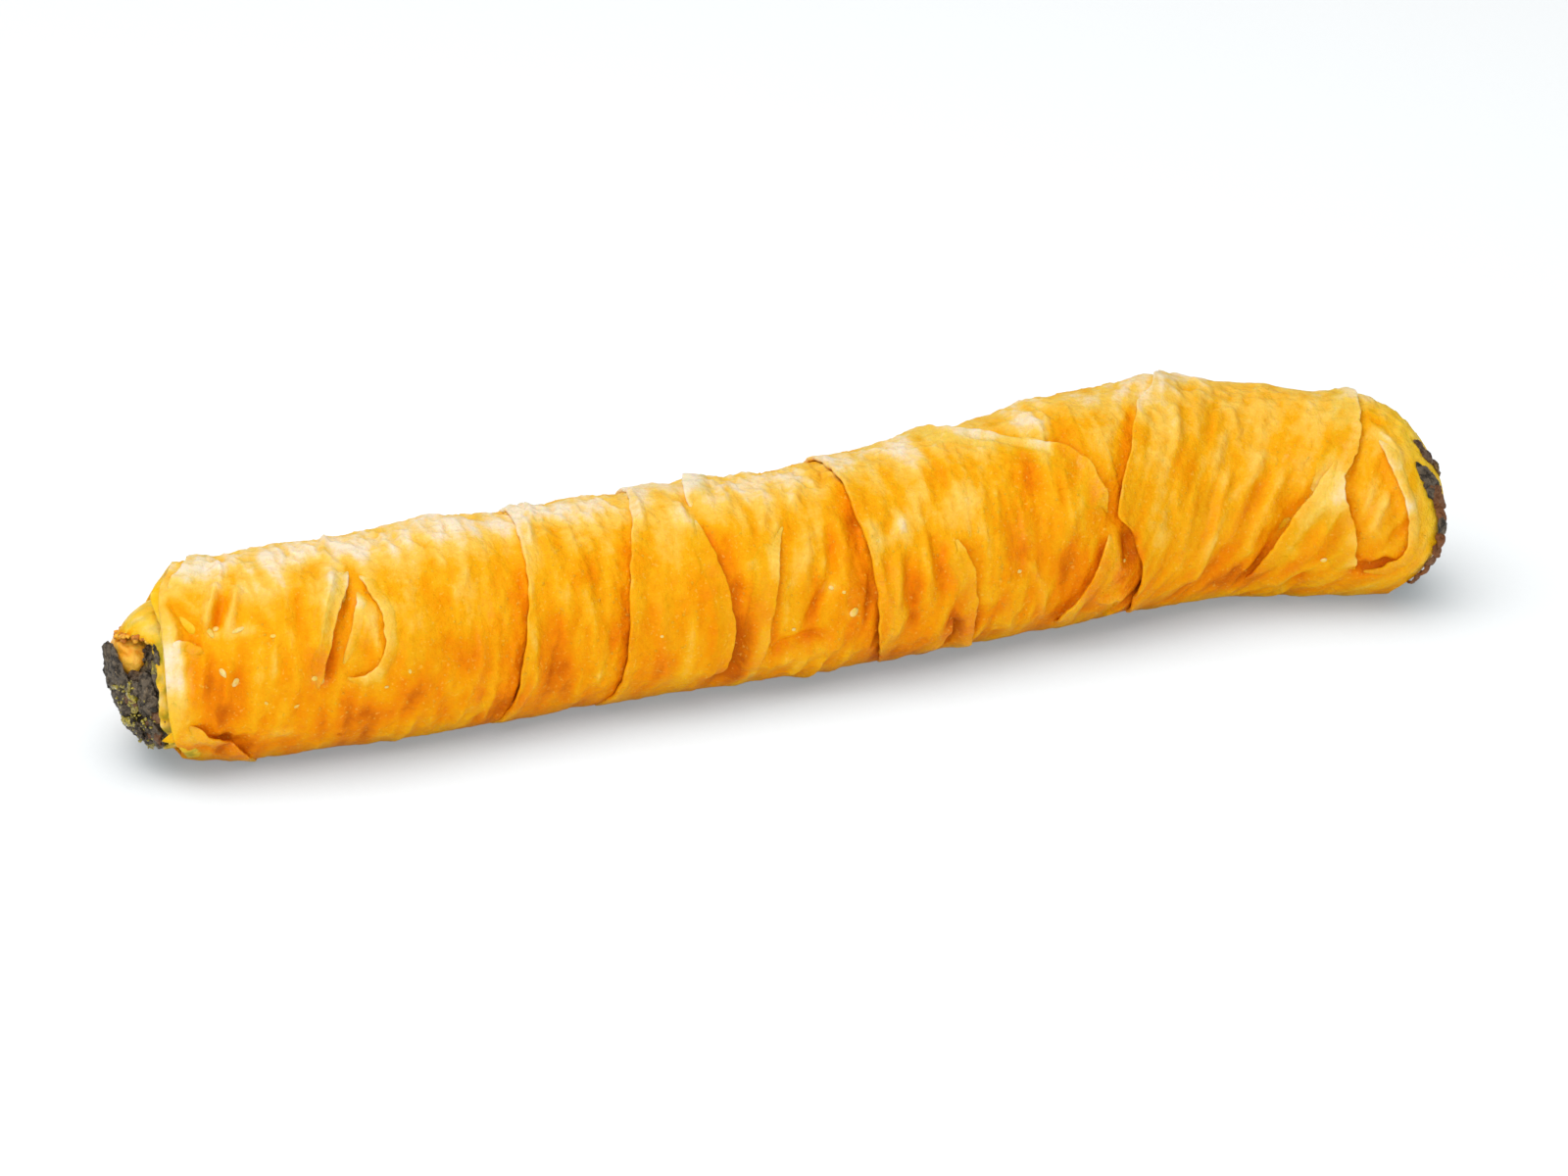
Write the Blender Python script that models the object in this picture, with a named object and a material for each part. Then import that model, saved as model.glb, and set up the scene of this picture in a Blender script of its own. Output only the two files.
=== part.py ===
"""Cigar borek: a stick of thin pastry, hand-rolled and gathered round a spinach and cheese filling.

The stick lies along X on a flat underside, with the rim that shows most filling at -X.
The pastry is a thick-walled roll, the filling is a core that runs right through it, and
a toasted lump of cheese sits in the top of the left mouth.
"""

import math

import bmesh
import bpy
import numpy as np

MM = 0.001

# Driving sizes, in millimetres.
LEFT_RIM = -91.0
RIGHT_RIM = 99.5
LEFT_RECESS_UNDER = 3.2
LEFT_RECESS_OVER = 5.6
RIGHT_RECESS_UNDER = 4.6
RIM_WANDER = 0.4
RIM_ROUND = 0.7
BORE_RADIUS = 10.2
THINNEST_WALL = 2.6
COLLAR_WALL = 1.1
COLLAR_STAND = 0.5
COLLAR_OVER = 5.0
COLLAR_UNDER = 1.4
COLLAR_DRAW = 1.9
FIT_GAP = 0.3
FLAT_SINK = 1.3

# The filling's mounds, and the lump of cheese in the left one.
LEFT_MOUND = 4.9
LEFT_MOUND_SEAT = 0.4
MOUND_FULLNESS = 3.0
MOUND_OVER_SHARE = 0.4
RIGHT_MOUND = 3.0
CHEESE_HALF_SIZE = (2.1, 3.4, 2.6)
CHEESE_STAND = 1.2
CHEESE_SHIFT = 1.0
CHEESE_RISE = 3.9

# How the roll sits: its sides sag a little wide, and its folds are pressed nearly flat underneath.
SIDE_SAG = 1.05
PRESSED_SHARE = 0.85
PRESSED_DEGREES = 30.0
CALM_LENGTH = 3.0

# Plan and girth of the roll: (mm along, mm) pairs that a smooth curve passes through.
AXIS_SWAY = [
    (-96, 12.0), (-60, 8.8), (-20, 8.8), (5, 7.6), (40, 9.2), (58, 10.6), (68, 10.0), (76, 8.0), (84, 5.0),
    (92, 2.2), (101, 0.2),
]
GIRTH_RADIUS = [
    (-96, 12.2), (-90, 13.2), (-78, 14.1), (-40, 14.3), (-15, 14.6), (10, 14.7), (30, 15.4), (50, 16.5),
    (66, 15.9), (76, 14.7), (86, 15.0), (92, 15.1), (97, 13.8), (101, 11.2),
]

# Laps, where one turn of the sheet ends on the next: the free edge as (degrees round, mm along) pairs.
# Degrees run from the crest over the front to the underside. "over" is +1 where the sheet on the
# +X side lies on top, and -1 where the other one does.
LAPS = [
    {
        "rise": 1.3,
        "over": +1,
        "edge": [
            (-25, -39.0), (30, -39.4), (60, -40.5), (90, -42.0), (125, -44.6), (180, -46.5),
            (260, -43.5), (335, -39.0),
        ],
    },
    {
        "rise": 1.4,
        "over": +1,
        "edge": [
            (-25, -21.0), (15, -22.5), (45, -24.6), (75, -26.6), (125, -28.5), (190, -30.0),
            (270, -25.0), (335, -21.0),
        ],
    },
    {
        "rise": 1.3,
        "over": -1,
        "edge": [
            (12, 4.0), (30, 0.0), (50, -4.0), (70, -5.6), (95, -7.0), (150, -7.6), (200, -6.0),
            (250, -2.0),
        ],
    },
    {
        "rise": 1.5,
        "over": +1,
        "edge": [
            (-60, 11.5), (-25, 9.9), (15, 9.4), (55, 9.9), (75, 9.8), (100, 10.5), (135, 12.8),
            (200, 14.0),
        ],
    },
    {
        "rise": 1.0,
        "over": -1,
        "edge": [
            (66, 24.0), (75, 24.5), (100, 25.3), (130, 27.0), (200, 28.0), (260, 26.0),
        ],
    },
    {
        "rise": 1.2,
        "over": -1,
        "edge": [
            (-60, 22.0), (-10, 28.5), (0, 30.5), (12, 34.0), (28, 43.0), (40, 46.0), (60, 47.5),
            (72, 48.7),
        ],
    },
    {
        "rise": 1.2,
        "over": +1,
        "edge": [
            (70, 49.0), (80, 48.0), (100, 45.0), (120, 42.0), (150, 40.5), (220, 42.0),
        ],
    },
    {
        "rise": 1.7,
        "over": +1,
        "edge": [
            (-90, 66.0), (-20, 64.0), (5, 60.5), (20, 57.0), (35, 54.5), (50, 52.0), (65, 50.0),
            (80, 51.4), (98, 52.6), (133, 53.3), (200, 57.0),
        ],
    },
    {
        "rise": 1.2,
        "over": +1,
        "edge": [
            (48, 86.0), (60, 82.0), (75, 78.0), (90, 75.0), (105, 73.3), (128, 71.0), (180, 68.0),
        ],
    },
    {
        "rise": 1.1,
        "over": -1,
        "edge": [
            (-90, 92.0), (-20, 90.6), (20, 88.5), (42, 86.3), (70, 83.5), (85, 84.3), (110, 85.2),
            (160, 89.0), (220, 91.0),
        ],
    },
    {"rise": 1.2, "over": -1, "edge": [(22, -63.8), (32, -64.6), (50, -66.6), (75, -69.6), (92, -71.3)]},
    {
        "rise": 1.0,
        "over": +1,
        "edge": [
            (20, -65.0), (28, -64.4), (45, -62.2), (60, -61.3), (75, -62.8), (90, -66.5),
        ],
    },
    {
        "rise": 1.2,
        "over": -1,
        "edge": [
            (100, -90.0), (108, -89.3), (118, -86.2), (133, -82.0), (170, -78.0),
        ],
    },
    {
        "rise": 1.2,
        "over": +1,
        "edge": [
            (160, -66.0), (200, -68.0), (250, -63.0), (300, -62.0), (335, -66.0),
        ],
    },
    {"rise": 1.3, "over": -1, "edge": [(170, 78.0), (210, 80.0), (260, 75.0), (310, 77.0)]},
]

# Gathers between the laps: hollows (negative) and puffs (positive), as centre and half-widths.
GATHERS = [
    {"along": -86.0, "round": 48, "height": -0.9, "length": 1.6, "reach": 18},
    {"along": -83.0, "round": 122, "height": -0.9, "length": 3.0, "reach": 12},
    {"along": -51.5, "round": 120, "height": -0.7, "length": 2.0, "reach": 28},
    {"along": -48.0, "round": -15, "height": 1.1, "length": 7.0, "reach": 50},
    {"along": -35.5, "round": 98, "height": -0.8, "length": 2.4, "reach": 26},
    {"along": -10.2, "round": 98, "height": -1.0, "length": 2.2, "reach": 45},
    {"along": 2.0, "round": 128, "height": 0.9, "length": 4.0, "reach": 22},
    {"along": 15.5, "round": 130, "height": -0.8, "length": 3.0, "reach": 24},
    {"along": 3.0, "round": 70, "height": -0.9, "length": 1.7, "reach": 26},
    {"along": 6.3, "round": 84, "height": 0.7, "length": 1.9, "reach": 34},
    {"along": 16.2, "round": 95, "height": -0.9, "length": 1.9, "reach": 34},
    {"along": 31.0, "round": 60, "height": 0.7, "length": 4.5, "reach": 40},
    {"along": 44.5, "round": 98, "height": -0.9, "length": 2.2, "reach": 24},
    {"along": 73.0, "round": -45, "height": 1.6, "length": 10.0, "reach": 48},
    {"along": 88.0, "round": 118, "height": 1.1, "length": 7.0, "reach": 44},
    {"along": 91.0, "round": -50, "height": -1.0, "length": 6.0, "reach": 50},
    {"along": 66.5, "round": 100, "height": -0.9, "length": 2.0, "reach": 34},
    {"along": 79.0, "round": 128, "height": -0.9, "length": 1.8, "reach": 20},
    {"along": 86.6, "round": 108, "height": -1.2, "length": 2.0, "reach": 16},
    {"along": -55.0, "round": 270, "height": -0.9, "length": 2.0, "reach": 40},
    {"along": -12.0, "round": 285, "height": -0.9, "length": 2.2, "reach": 46},
    {"along": 20.0, "round": 250, "height": -0.9, "length": 2.0, "reach": 40},
    {"along": 50.0, "round": 280, "height": -0.9, "length": 2.0, "reach": 40},
]

LAP_TAIL = 6.5
LAP_FACE = 2.2
LAP_FADE_DEGREES = 16
VALLEY_SHARE = 0.45
VALLEY_WIDTH = 1.8

# Mesh detail.
AROUND = 40
RINGS = 78
BORE_RINGS = 13
BORE_FROM_LEFT = 6.0
BORE_FROM_RIGHT = 3.0


def through(stations, at):
    """A smooth curve through (x, y) stations: cubic Hermite pieces with chord slopes."""
    x, y = np.array(stations, float).T
    slope = np.gradient(y, x)
    at = np.clip(np.asarray(at, float), x[0], x[-1])
    k = np.clip(np.searchsorted(x, at) - 1, 0, len(x) - 2)
    span = x[k + 1] - x[k]
    t = (at - x[k]) / span
    rise = y[k + 1] - y[k]
    start = slope[k] * span
    end = slope[k + 1] * span
    return y[k] + start * t + (3 * rise - 2 * start - end) * t**2 + (start + end - 2 * rise) * t**3


def smooth_step(x):
    x = np.clip(x, 0.0, 1.0)
    return x * x * (3 - 2 * x)


def turn_from(centre, degrees):
    """Degrees from centre, the short way round."""
    return (degrees - centre + 180.0) % 360.0 - 180.0


def bump(middle, reach, degrees):
    """1 in the middle direction, falling smoothly to 0 on both sides of it."""
    return np.exp(-((turn_from(middle, degrees) / reach) ** 2))


def lap_relief(lap, along, degrees):
    """Height that one lap adds: a face at the free edge, a tail under the upper sheet, a valley before it."""
    start, stop = lap["edge"][0][0], lap["edge"][-1][0]
    whole_turn = stop - start >= 359
    local = (degrees - start) % 360.0 + start
    edge = through(lap["edge"], local)
    fade = 1.0
    if not whole_turn:
        inside = np.where(local <= stop, np.minimum(local - start, stop - local), 0.0)
        fade = smooth_step(inside / LAP_FADE_DEGREES)
    ahead = lap["over"] * (along - edge)
    face = smooth_step(ahead / LAP_FACE + 0.5)
    tail = np.exp(-np.maximum(ahead, 0.0) / LAP_TAIL)
    valley = np.exp(-((np.minimum(ahead, 0.0) / VALLEY_WIDTH) ** 2)) * (1 - face)
    return lap["rise"] * fade * (face * tail - VALLEY_SHARE * valley)


def gather_relief(gather, along, degrees):
    across = (along - gather["along"]) / gather["length"]
    return gather["height"] * np.exp(-(across**2)) * bump(gather["round"], gather["reach"], degrees)


def relief(along, degrees):
    """Folds and gathers of the sheet, pressed nearly flat along the underside."""
    height = sum(lap_relief(lap, along, degrees) for lap in LAPS)
    height = height + sum(gather_relief(gather, along, degrees) for gather in GATHERS)
    pressed = 1 - PRESSED_SHARE * bump(180, PRESSED_DEGREES, degrees)
    calm = smooth_step((along - LEFT_RIM) / CALM_LENGTH) * smooth_step((RIGHT_RIM - along) / CALM_LENGTH)
    return height * pressed * calm


def bore_radius(along):
    """The pastry wall is thick along the roll and thins as the roll draws in at its ends."""
    return np.minimum(through(GIRTH_RADIUS, along) - THINNEST_WALL, BORE_RADIUS)


def bore_stations():
    """Places where the bore and the filling both have a ring, so that the gap between them stays even."""
    return np.linspace(LEFT_RIM + BORE_FROM_LEFT, RIGHT_RIM - BORE_FROM_RIGHT, BORE_RINGS)


def centre(along):
    """The axis of the roll at each place: sideways sway, and height above the table."""
    return through(AXIS_SWAY, along), through(GIRTH_RADIUS, along) - FLAT_SINK


def ring_points(along, degrees, radius, flatten):
    """Points round the roll's axis. The outside sags a little wide and is pressed flat where it rests."""
    angle = np.radians(degrees)
    sway, height = centre(along)
    sag = SIDE_SAG if flatten else 1.0
    y = sway - radius * sag * np.sin(angle)
    z = height + radius * np.cos(angle)
    if flatten:
        z = np.maximum(z, 0.0)
    return np.stack([np.broadcast_to(along, y.shape), y, z], axis=-1)


def mesh_object(name, rings, colour, roughness):
    """A closed mesh from rings of points: neighbours are bridged, and both ends are fanned shut."""
    mesh = bmesh.new()
    loops = [[mesh.verts.new(point * MM) for point in ring] for ring in rings]
    count = len(loops[0])
    for low, high in zip(loops, loops[1:]):
        for k in range(count):
            after = (k + 1) % count
            mesh.faces.new((low[k], low[after], high[after], high[k]))
    for loop in (loops[0], loops[-1]):
        hub = mesh.verts.new(sum((v.co for v in loop), loop[0].co * 0) / count)
        for k in range(count):
            mesh.faces.new((loop[k], loop[(k + 1) % count], hub))
    return finish(name, mesh, colour, roughness)


def tube_object(name, rings, colour, roughness):
    """A closed tube: the rings run along the outside, round a rim, back through the bore, and meet."""
    mesh = bmesh.new()
    loops = [[mesh.verts.new(point * MM) for point in ring] for ring in rings]
    count = len(loops[0])
    for low, high in zip(loops, loops[1:] + loops[:1]):
        for k in range(count):
            after = (k + 1) % count
            mesh.faces.new((low[k], low[after], high[after], high[k]))
    return finish(name, mesh, colour, roughness)


def finish(name, mesh, colour, roughness):
    bmesh.ops.triangulate(mesh, faces=mesh.faces[:])
    bmesh.ops.recalc_face_normals(mesh, faces=mesh.faces[:])
    data = bpy.data.meshes.new(name)
    mesh.to_mesh(data)
    mesh.free()
    data.shade_smooth()
    data.materials.append(material(name, colour, roughness))
    part = bpy.data.objects.new(name, data)
    bpy.context.scene.collection.objects.link(part)
    return part


def material(name, colour, roughness):
    made = bpy.data.materials.new(name)
    made.use_nodes = True
    surface = made.node_tree.nodes["Principled BSDF"]
    surface.inputs["Base Color"].default_value = (*colour, 1.0)
    surface.inputs["Roughness"].default_value = roughness
    surface.inputs["Metallic"].default_value = 0.0
    return made


def left_rim_edge(degrees):
    """The mouth isn't cut straight: its lip reaches furthest at the front, and stops short above and below."""
    recess = LEFT_RECESS_UNDER * bump(165, 45, degrees) + LEFT_RECESS_OVER * bump(-45, 48, degrees)
    return LEFT_RIM + recess + RIM_WANDER * np.sin(np.radians(3 * degrees))


def right_rim_edge(degrees):
    """The other mouth is drawn nearly shut above, and stops short where its front meets the underside."""
    recess = RIGHT_RECESS_UNDER * bump(125, 50, degrees)
    return RIGHT_RIM - recess + RIM_WANDER * np.sin(np.radians(2 * degrees))


def left_collar_edge(degrees):
    """The innermost turn of the sheet stands out of the mouth as a collar, longest over the filling's top."""
    stand = COLLAR_STAND + COLLAR_OVER * bump(-15, 55, degrees) + COLLAR_UNDER * bump(170, 40, degrees)
    return left_rim_edge(degrees) - stand


def mouth_draw(degrees):
    """How far the collar, and the filling inside it, are drawn in over the top of the left mouth."""
    return COLLAR_DRAW * bump(-15, 55, degrees)


def pastry():
    degrees = np.arange(AROUND) * 360.0 / AROUND
    left, right = left_rim_edge(degrees), right_rim_edge(degrees)
    rings = []
    for share in np.linspace(0.0, 1.0, RINGS):
        along = left + share * (right - left)
        rounded = RIM_ROUND * (np.exp(-share * RINGS) + np.exp((share - 1) * RINGS))
        radius = through(GIRTH_RADIUS, along) + relief(along, degrees) - rounded
        rings.append(ring_points(along, degrees, radius, flatten=True))
    for along in (right, *bore_stations()[::-1]):
        along = along + 0 * degrees
        rings.append(ring_points(along, degrees, bore_radius(along), flatten=False))
    collar = left_collar_edge(degrees)
    drawn = bore_radius(collar) - mouth_draw(degrees)
    rings.append(ring_points(collar, degrees, drawn, flatten=False))
    rings.append(ring_points(collar, degrees, drawn + COLLAR_WALL, flatten=False))
    rings.append(ring_points(left, degrees, bore_radius(left) + COLLAR_WALL, flatten=False))
    return tube_object("pastry", rings, colour=(0.83, 0.42, 0.07), roughness=0.45)


def clump(along, degrees):
    """Unevenness of the leafy filling where it stands out of the mouths."""
    angle = np.radians(degrees)
    return 0.12 * np.sin(5 * angle + 0.4 * along) + 0.1 * np.sin(3 * angle - 0.7 * along)


def filling():
    """The spinach core. It stands out of the left mouth in a mound, with a seat cut for the cheese."""
    degrees = np.arange(AROUND) * 360.0 / AROUND
    top = np.cos(np.radians(degrees))
    rings = []
    for share in (0.30, 0.62, 0.86, 1.0):
        lower = MOUND_OVER_SHARE + (1 - MOUND_OVER_SHARE) * (1 - smooth_step(top * share * 1.6))
        along = LEFT_RIM + LEFT_MOUND_SEAT - LEFT_MOUND * (1 - share**MOUND_FULLNESS) * lower
        radius = (bore_radius(along) - FIT_GAP - mouth_draw(degrees)) * share
        radius = radius + clump(along, degrees) * (1 - share)
        rings.append(ring_points(along, degrees, radius, flatten=False))
    for along in bore_stations():
        along = np.full(AROUND, along)
        rings.append(ring_points(along, degrees, bore_radius(along) - FIT_GAP, flatten=False))
    for share in (1.0, 0.8, 0.5, 0.25):
        along = np.full(AROUND, RIGHT_RIM + RIGHT_MOUND * math.cos(share * math.pi / 2) - 2 * FIT_GAP)
        radius = (bore_radius(along) - 2 * FIT_GAP) * share + clump(along, degrees) * (1 - share)
        rings.append(ring_points(along, degrees, radius, flatten=False))
    core = mesh_object("spinach_filling", rings, colour=(0.028, 0.045, 0.012), roughness=0.4)
    seat = cheese("cheese_seat", grow=FIT_GAP)
    seat.hide_render = True
    seat.display_type = "WIRE"
    cut = core.modifiers.new("seat for the cheese", "BOOLEAN")
    cut.operation = "DIFFERENCE"
    cut.object = seat
    return core


def cheese(name, grow=0.0):
    """A toasted lump of cheese: a squashed ball with flat-ish sides, in a seat in the filling's mound."""
    mesh = bmesh.new()
    bmesh.ops.create_icosphere(mesh, subdivisions=3, radius=1.0)
    sway, height = centre(LEFT_RIM)
    middle = (LEFT_RIM - CHEESE_STAND, sway + CHEESE_SHIFT, height + CHEESE_RISE)
    for vert in mesh.verts:
        x, y, z = vert.co
        boxy = 0.82 + 0.18 / max(abs(x), abs(y), abs(z))
        dent = 1 + 0.05 * math.sin(3.1 * x + 1.0) + 0.05 * math.sin(4.3 * y) + 0.04 * math.sin(5.0 * z + 2.0)
        for axis, half in enumerate(CHEESE_HALF_SIZE):
            vert.co[axis] = MM * (middle[axis] + vert.co[axis] * boxy * dent * (half + grow))
    return finish(name, mesh, colour=(0.93, 0.47, 0.08), roughness=0.35)


def centre_on_origin():
    """Puts the middle of the whole object's base at the origin."""
    solids = [part for part in bpy.data.objects if not part.hide_render]
    corners = np.array([vert.co for part in solids for vert in part.data.vertices])
    low, high = corners.min(axis=0), corners.max(axis=0)
    for part in bpy.data.objects:
        part.location = (-(low[0] + high[0]) / 2, -(low[1] + high[1]) / 2, -low[2])


for old in list(bpy.data.objects):
    bpy.data.objects.remove(old)
pastry()
filling()
cheese("cheese_lump")
centre_on_origin()
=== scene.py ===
"""Cigar borek: a yufka roll with its folds and free edges, and spinach and cheese at its mouths.

Places on the roll are written as (mm along, degrees round). Degrees run from the crest (0) over the
front (90) to the underside (180), and -90 is the back. Shapes are worked out in millimetres about the
roll's own axis, and moved into the frame, in metres, when a mesh is made.
"""

import math

import bpy
import numpy as np
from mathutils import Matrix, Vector


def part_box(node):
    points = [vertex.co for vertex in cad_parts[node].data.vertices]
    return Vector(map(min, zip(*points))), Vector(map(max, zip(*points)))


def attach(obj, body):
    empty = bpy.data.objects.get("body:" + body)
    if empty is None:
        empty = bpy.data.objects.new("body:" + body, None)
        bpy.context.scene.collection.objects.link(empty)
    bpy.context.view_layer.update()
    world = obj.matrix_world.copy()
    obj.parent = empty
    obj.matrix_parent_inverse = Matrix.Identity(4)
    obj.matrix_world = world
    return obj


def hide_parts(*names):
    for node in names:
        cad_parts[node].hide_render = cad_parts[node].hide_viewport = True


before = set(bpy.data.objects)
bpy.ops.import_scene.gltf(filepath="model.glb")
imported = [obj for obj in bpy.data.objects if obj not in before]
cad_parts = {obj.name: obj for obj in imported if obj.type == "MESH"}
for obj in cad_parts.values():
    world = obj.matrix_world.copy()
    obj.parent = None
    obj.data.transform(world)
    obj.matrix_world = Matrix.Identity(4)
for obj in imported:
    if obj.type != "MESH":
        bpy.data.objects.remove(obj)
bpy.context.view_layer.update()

MM = 0.001
FAR = 1e6  # further off than any path, in mm

# The two rims of the roll, as the solid model has them, and how far each draws back round its mouth.
LEFT_RIM = -91.0
RIGHT_RIM = 99.5
LEFT_RECESS_UNDER = 3.2
LEFT_RECESS_OVER = 5.6
LEFT_SHOULDER = 2.0
RIGHT_RECESS_UNDER = 3.5
RIGHT_HEEL = 2.6
RIM_WANDER = 0.4

# The bore, the collar that stands out of its left end, and the filling's two mounds.
BORE_RADIUS = 10.2
THINNEST_WALL = 2.6
COLLAR_STAND = 0.5
COLLAR_OVER = 5.6
COLLAR_UNDER = 1.4
COLLAR_DRAW = 3.1
FIT_GAP = 0.3
LEFT_MOUND = 3.3
LEFT_MOUND_SEAT = 0.4
MOUND_FULLNESS = 3.0
MOUND_OVER_SHARE = 0.25
MOUND_DRAW = 0.6
RIGHT_MOUND = 3.0

# The lump of cheese: how far it stands out of the left rim, its place off the axis, and its half-sizes.
CHEESE_STAND = 1.2
CHEESE_SHIFT = 1.0
CHEESE_RISE = 3.9
CHEESE_HALF_SIZE = (2.1, 3.4, 2.6)

# How the roll rests: sunk flat, a little wide, its left heel off the table, its wrinkles pressed out.
FLAT_SINK = 1.3
SIDE_SAG = 1.05
LEFT_HEEL = 1.5
LEFT_HEEL_LENGTH = 4.2
PRESSED_SHARE = 0.85
PRESSED_DEGREES = 30.0

# Wrinkles fade out over this length before either rim.
CALM_LENGTH = 3.0

# The axis's sway to the side and the roll's radius, both as (mm along, mm).
AXIS_SWAY = [
    (-96, 12.0), (-60, 8.8), (-20, 8.8), (5, 7.6), (40, 9.2), (58, 10.6), (68, 10.0), (76, 8.0), (84, 5.0),
    (92, 2.2), (101, 0.2),
]
GIRTH_RADIUS = [
    (-96, 12.2), (-90, 13.2), (-78, 14.1), (-40, 14.3), (-15, 14.6), (10, 14.7), (30, 15.4), (50, 16.5),
    (66, 15.9), (76, 14.7), (86, 15.0), (92, 15.1), (97, 13.8), (101, 11.2),
]

# The sheet, and its plan: mm along the roll, and mm round it at a mean radius.
SHEET = 0.5
TURN_SHEET = 0.7
PLAN_RADIUS = 15.0
ARC = math.radians(PLAN_RADIUS)
TUCK = 3.2


# --- Curves and noise -------------------------------------------------------------------------------

def through(stations, at):
    """A smooth curve through (x, y) stations: cubic Hermite pieces with chord slopes."""
    x, y = np.array(stations, float).T
    slope = np.gradient(y, x)
    at = np.clip(np.asarray(at, float), x[0], x[-1])
    k = np.clip(np.searchsorted(x, at) - 1, 0, len(x) - 2)
    span = x[k + 1] - x[k]
    t = (at - x[k]) / span
    rise = y[k + 1] - y[k]
    start = slope[k] * span
    end = slope[k + 1] * span
    return y[k] + start * t + (3 * rise - 2 * start - end) * t**2 + (start + end - 2 * rise) * t**3


def smooth_step(x):
    x = np.clip(x, 0.0, 1.0)
    return x * x * (3 - 2 * x)


def turn_from(centre, degrees):
    """Degrees from centre, the short way round."""
    return (degrees - centre + 180.0) % 360.0 - 180.0


def bump(middle, reach, degrees):
    """1 in the middle direction, falling smoothly to 0 on both sides of it."""
    return np.exp(-((turn_from(middle, degrees) / reach) ** 2))


def lattice_noise(points, seed):
    """Smooth noise from -1 to 1 at (n, 3) points, one feature to a unit: gradients on a hashed lattice."""
    rng = np.random.default_rng(seed)
    table = rng.permutation(256)
    gradients = rng.normal(size=(256, 3))
    gradients /= np.linalg.norm(gradients, axis=1)[:, None]
    cell = np.floor(points).astype(int)
    inside = points - cell
    ease = inside**3 * (inside * (inside * 6 - 15) + 10)
    total = np.zeros(len(points))
    for corner in np.ndindex(2, 2, 2):
        at = (cell + corner) & 255
        pick = table[(table[(table[at[:, 0]] + at[:, 1]) & 255] + at[:, 2]) & 255]
        offset = inside - corner
        weight = np.prod(np.where(np.array(corner) == 1, ease, 1 - ease), axis=1)
        total += weight * np.einsum("ij,ij->i", gradients[pick], offset)
    return 1.6 * total


def noise_at(points, size, seed):
    """Noise at (..., 3) points in mm, with features of this size."""
    flat = np.asarray(points, float).reshape(-1, 3) / size + 17.3 * seed
    return lattice_noise(flat, seed).reshape(np.shape(points)[:-1])


def roll_noise(along, degrees, length, round_length, seed):
    """Noise on the roll with features this long along it and round it, with no seam."""
    angle = np.radians(degrees)
    around = PLAN_RADIUS / round_length
    points = np.stack(np.broadcast_arrays(along / length, around * np.cos(angle), around * np.sin(angle)), -1)
    return noise_at(points, 1.0, seed)


# --- The roll's places ------------------------------------------------------------------------------

def girth(along):
    return through(GIRTH_RADIUS, along)


def centre(along):
    """The axis of the roll at each place: sideways sway, and height above the table."""
    return through(AXIS_SWAY, along), girth(along) - FLAT_SINK


def bore_radius(along):
    return np.minimum(girth(along) - THINNEST_WALL, BORE_RADIUS)


def left_bore_edge(degrees):
    recess = LEFT_RECESS_UNDER * bump(165, 45, degrees) + LEFT_RECESS_OVER * bump(-45, 48, degrees)
    return LEFT_RIM + recess + RIM_WANDER * np.sin(np.radians(3 * degrees))


def left_rim_edge(degrees):
    return left_bore_edge(degrees) + LEFT_SHOULDER * bump(-22, 28, degrees)


def right_rim_edge(degrees):
    recess = RIGHT_RECESS_UNDER * bump(130, 46, degrees) + RIGHT_HEEL * bump(148, 24, degrees)
    return RIGHT_RIM - recess + RIM_WANDER * np.sin(np.radians(2 * degrees))


def mouth_draw(degrees):
    return COLLAR_DRAW * bump(-15, 55, degrees)


def left_collar_edge(degrees):
    over = COLLAR_OVER * bump(-14, 46, degrees) * (1 - smooth_step((turn_from(0.0, degrees) - 16) / 34))
    return left_bore_edge(degrees) - COLLAR_STAND - over - COLLAR_UNDER * bump(170, 40, degrees)


def cheese_middle():
    sway, height = centre(LEFT_RIM)
    return np.array([LEFT_RIM - CHEESE_STAND, float(sway) + CHEESE_SHIFT, float(height) + CHEESE_RISE])


cheese_low, cheese_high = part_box("cheese_lump")
SHIFT = (np.array(cheese_low) + np.array(cheese_high)) / (2 * MM) - cheese_middle()
SHIFT[2] = 0.0


def heel(along):
    """How far the underside is off the table: it rises a little towards the left rim."""
    return LEFT_HEEL * np.exp(-(((np.asarray(along) - LEFT_RIM) / LEFT_HEEL_LENGTH) ** 2))


def ring_points(along, degrees, radius, sag=SIDE_SAG, lowest=0.0):
    """Points round the roll's axis. Its turns sag a little wide, and are pressed flat where they rest."""
    angle = np.radians(degrees)
    sway, height = centre(along)
    y = sway - radius * sag * np.sin(angle)
    z = np.maximum(height + radius * np.cos(angle), lowest + heel(along))
    return np.stack(np.broadcast_arrays(along, y, z), axis=-1)


def edge_share(degrees):
    """How far the sheet's edges stand off: fully in front, less over the crest, least underneath."""
    shares = [
        (-180, 0.10), (-130, 0.4), (-70, 0.5), (-30, 0.55), (0, 0.62), (30, 0.8), (70, 1.0), (100, 1.0),
        (122, 0.8), (145, 0.35), (180, 0.10),
    ]
    return through(shares, turn_from(0.0, degrees))


# --- Folds of the sheet -----------------------------------------------------------------------------

def path_of(points, step=1.2):
    """A smooth path through (mm along, degrees) points, in the plan of the sheet: mm along, mm round."""
    corners = np.array(points, float) * (1.0, ARC)
    spans = np.hypot(*np.diff(corners, axis=0).T)
    travelled = np.concatenate([[0.0], np.cumsum(spans)])
    at = np.linspace(0.0, travelled[-1], max(int(travelled[-1] / step), 3) + 1)
    return np.stack([through(list(zip(travelled, corners[:, k])), at) for k in (0, 1)], axis=-1)


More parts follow.
